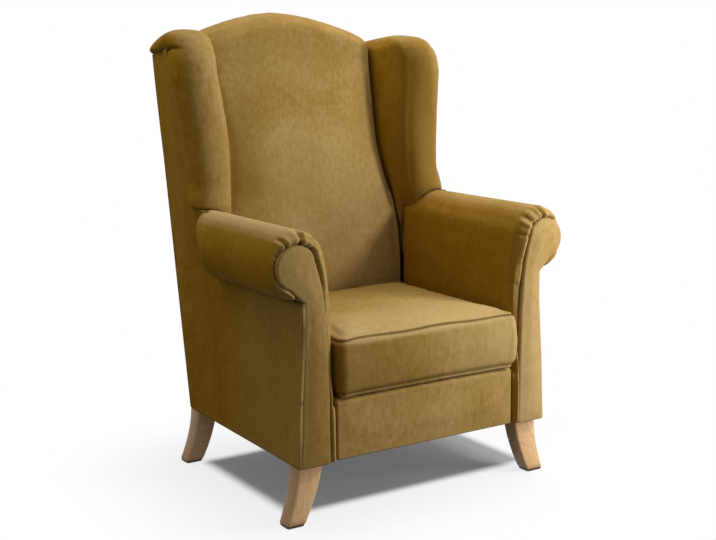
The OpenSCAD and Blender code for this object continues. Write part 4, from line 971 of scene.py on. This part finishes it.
# ---- studio ----
studio = {
    "floorSize": 14.0, "floorSeen": 0.86, "floorSpeck": 0.008, "floorBounce": 0.18,
    # the shadow painted on the floor below the chair: its place and half size, how dark it is, and
    # how its edge fades
    "underMiddle": (0.030, -0.033, 0.0), "footprint": (0.305, 0.196, 1.0),
    "underGlow": 0.11, "paintedShadowTone": 0.35, "edgeTo": 0.045, "edgeShare": 0.74, "fadeTo": 0.42,
    "air": 0.33,
    "lamps": [  # name, place, aimed at, width, height, watts
        ("keyLamp", (0.85, -0.95, 1.10), (0.0, -0.1, 0.50), 0.18, 0.18, 8.8),
        ("lowLamp", (0.95, -1.05, 0.45), (0.0, -0.1, 0.50), 0.6, 0.6, 8.0),
        ("topLamp", (0.70, 0.20, 2.20), (0.0, -0.1, 0.50), 0.8, 0.8, 19.0),
        ("rearLamp", (-0.90, 0.60, 2.20), (0.0, 0.0, 0.50), 0.8, 0.8, 7.2),
    ],
}

def seenStraight(tree):                # 1 for what the camera sees, also mirrored or through glass
    path = tree.nodes.new('ShaderNodeLightPath').outputs
    mirrored = addMath(tree, 'MAXIMUM', path["Is Glossy Ray"], path["Is Transmission Ray"])
    return addMath(tree, 'MAXIMUM', path["Is Camera Ray"], mirrored)

def mixShaders(tree, share, a, b):
    n = tree.nodes.new('ShaderNodeMixShader')
    for socket, value in zip(n.inputs, (share, a, b)):
        tree.links.new(value, socket)
    return n.outputs[0]

def addFloor(s):
    deselectAll()
    bpy.ops.mesh.primitive_plane_add(size=s["floorSize"], location=(0, 0, 0))
    floor = bpy.context.object
    floor.name = "studioFloor"
    mat, tree, shader, place = newMaterial("floorPaint")
    shader.inputs["Roughness"].default_value = 0.75
    shader.inputs["Specular IOR Level"].default_value = 0.1
    seen = seenStraight(tree)
    off = addVectorMath(tree, 'ABSOLUTE', addVectorMath(tree, 'SUBTRACT', place, s["underMiddle"]))
    past = addVectorMath(tree, 'MAXIMUM', addVectorMath(tree, 'SUBTRACT', off, s["footprint"]))
    far = addNode(tree, 'ShaderNodeVectorMath', {"operation": 'LENGTH'}, i0=past).outputs["Value"]
    edge, wide = (easeRange(tree, far, 0.0, s[to]) for to in ("edgeTo", "fadeTo"))
    dark, pale = ((s["floorSeen"] * (1 + sign * s["floorSpeck"]),) * 3 for sign in (-1, 1))
    shown = mixColour(tree, addNoise(tree, place, 60.0, detail=2.0), dark, pale)
    # painted shadow: the floor is darker inside the chair's footprint
    under = mixColour(tree, 1.0, shown, (s["paintedShadowTone"],) * 3, 'MULTIPLY')
    shown = mixColour(tree, edge, under, shown)
    shown = mixColour(tree, seen, (s["floorBounce"],) * 3, shown)
    tree.links.new(shown, shader.inputs["Base Color"])
    # the white glow fades out towards the footprint, leaving the painted shadow
    fade = addSum(tree, edge, s["edgeShare"], wide, 1 - s["edgeShare"])
    fade = addMath(tree, 'ADD', timesMath(tree, fade, 1 - s["underGlow"]), s["underGlow"])
    glow = addNode(tree, 'ShaderNodeEmission', Color=(1, 1, 1, 1), Strength=1.0)
    fade = timesMath(tree, fade, seen)
    both = mixShaders(tree, fade, shader.outputs[0], glow.outputs[0])
    tree.links.new(both, tree.nodes["Material Output"].inputs[0])
    floor.data.materials.append(mat)

def addAir(s):
    world = bpy.data.worlds.new("studioAir")
    scene.world = world
    world.use_nodes = True
    tree = world.node_tree
    tree.nodes.clear()
    dim, white = (addNode(tree, 'ShaderNodeBackground', Color=(1, 1, 1, 1),
                          Strength=strength).outputs[0] for strength in (s["air"], 1.0))
    out = tree.nodes.new('ShaderNodeOutputWorld')
    tree.links.new(mixShaders(tree, seenStraight(tree), dim, white), out.inputs[0])

def addLamps(s):
    for name, place, aim, width, height, watts in s["lamps"]:
        data = bpy.data.lights.new(name, 'AREA')
        data.shape = 'RECTANGLE'
        data.size, data.size_y, data.energy = width, height, watts
        lamp = bpy.data.objects.new(name, data)
        lamp.visible_camera = False
        scene.collection.objects.link(lamp)
        lamp.location = place
        lamp.rotation_euler = (Vector(aim) - Vector(place)).to_track_quat('-Z', 'Y').to_euler()

addFloor(studio)
addAir(studio)
addLamps(studio)
scene.view_settings.view_transform = 'Standard'
print("stage: studio made")

for obj in scene.objects:
    if obj.type == 'MESH' and not obj.hide_render and not obj.get("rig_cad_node"):
        print("piece", obj.name, sum(len(p.vertices) - 2 for p in obj.data.polygons))
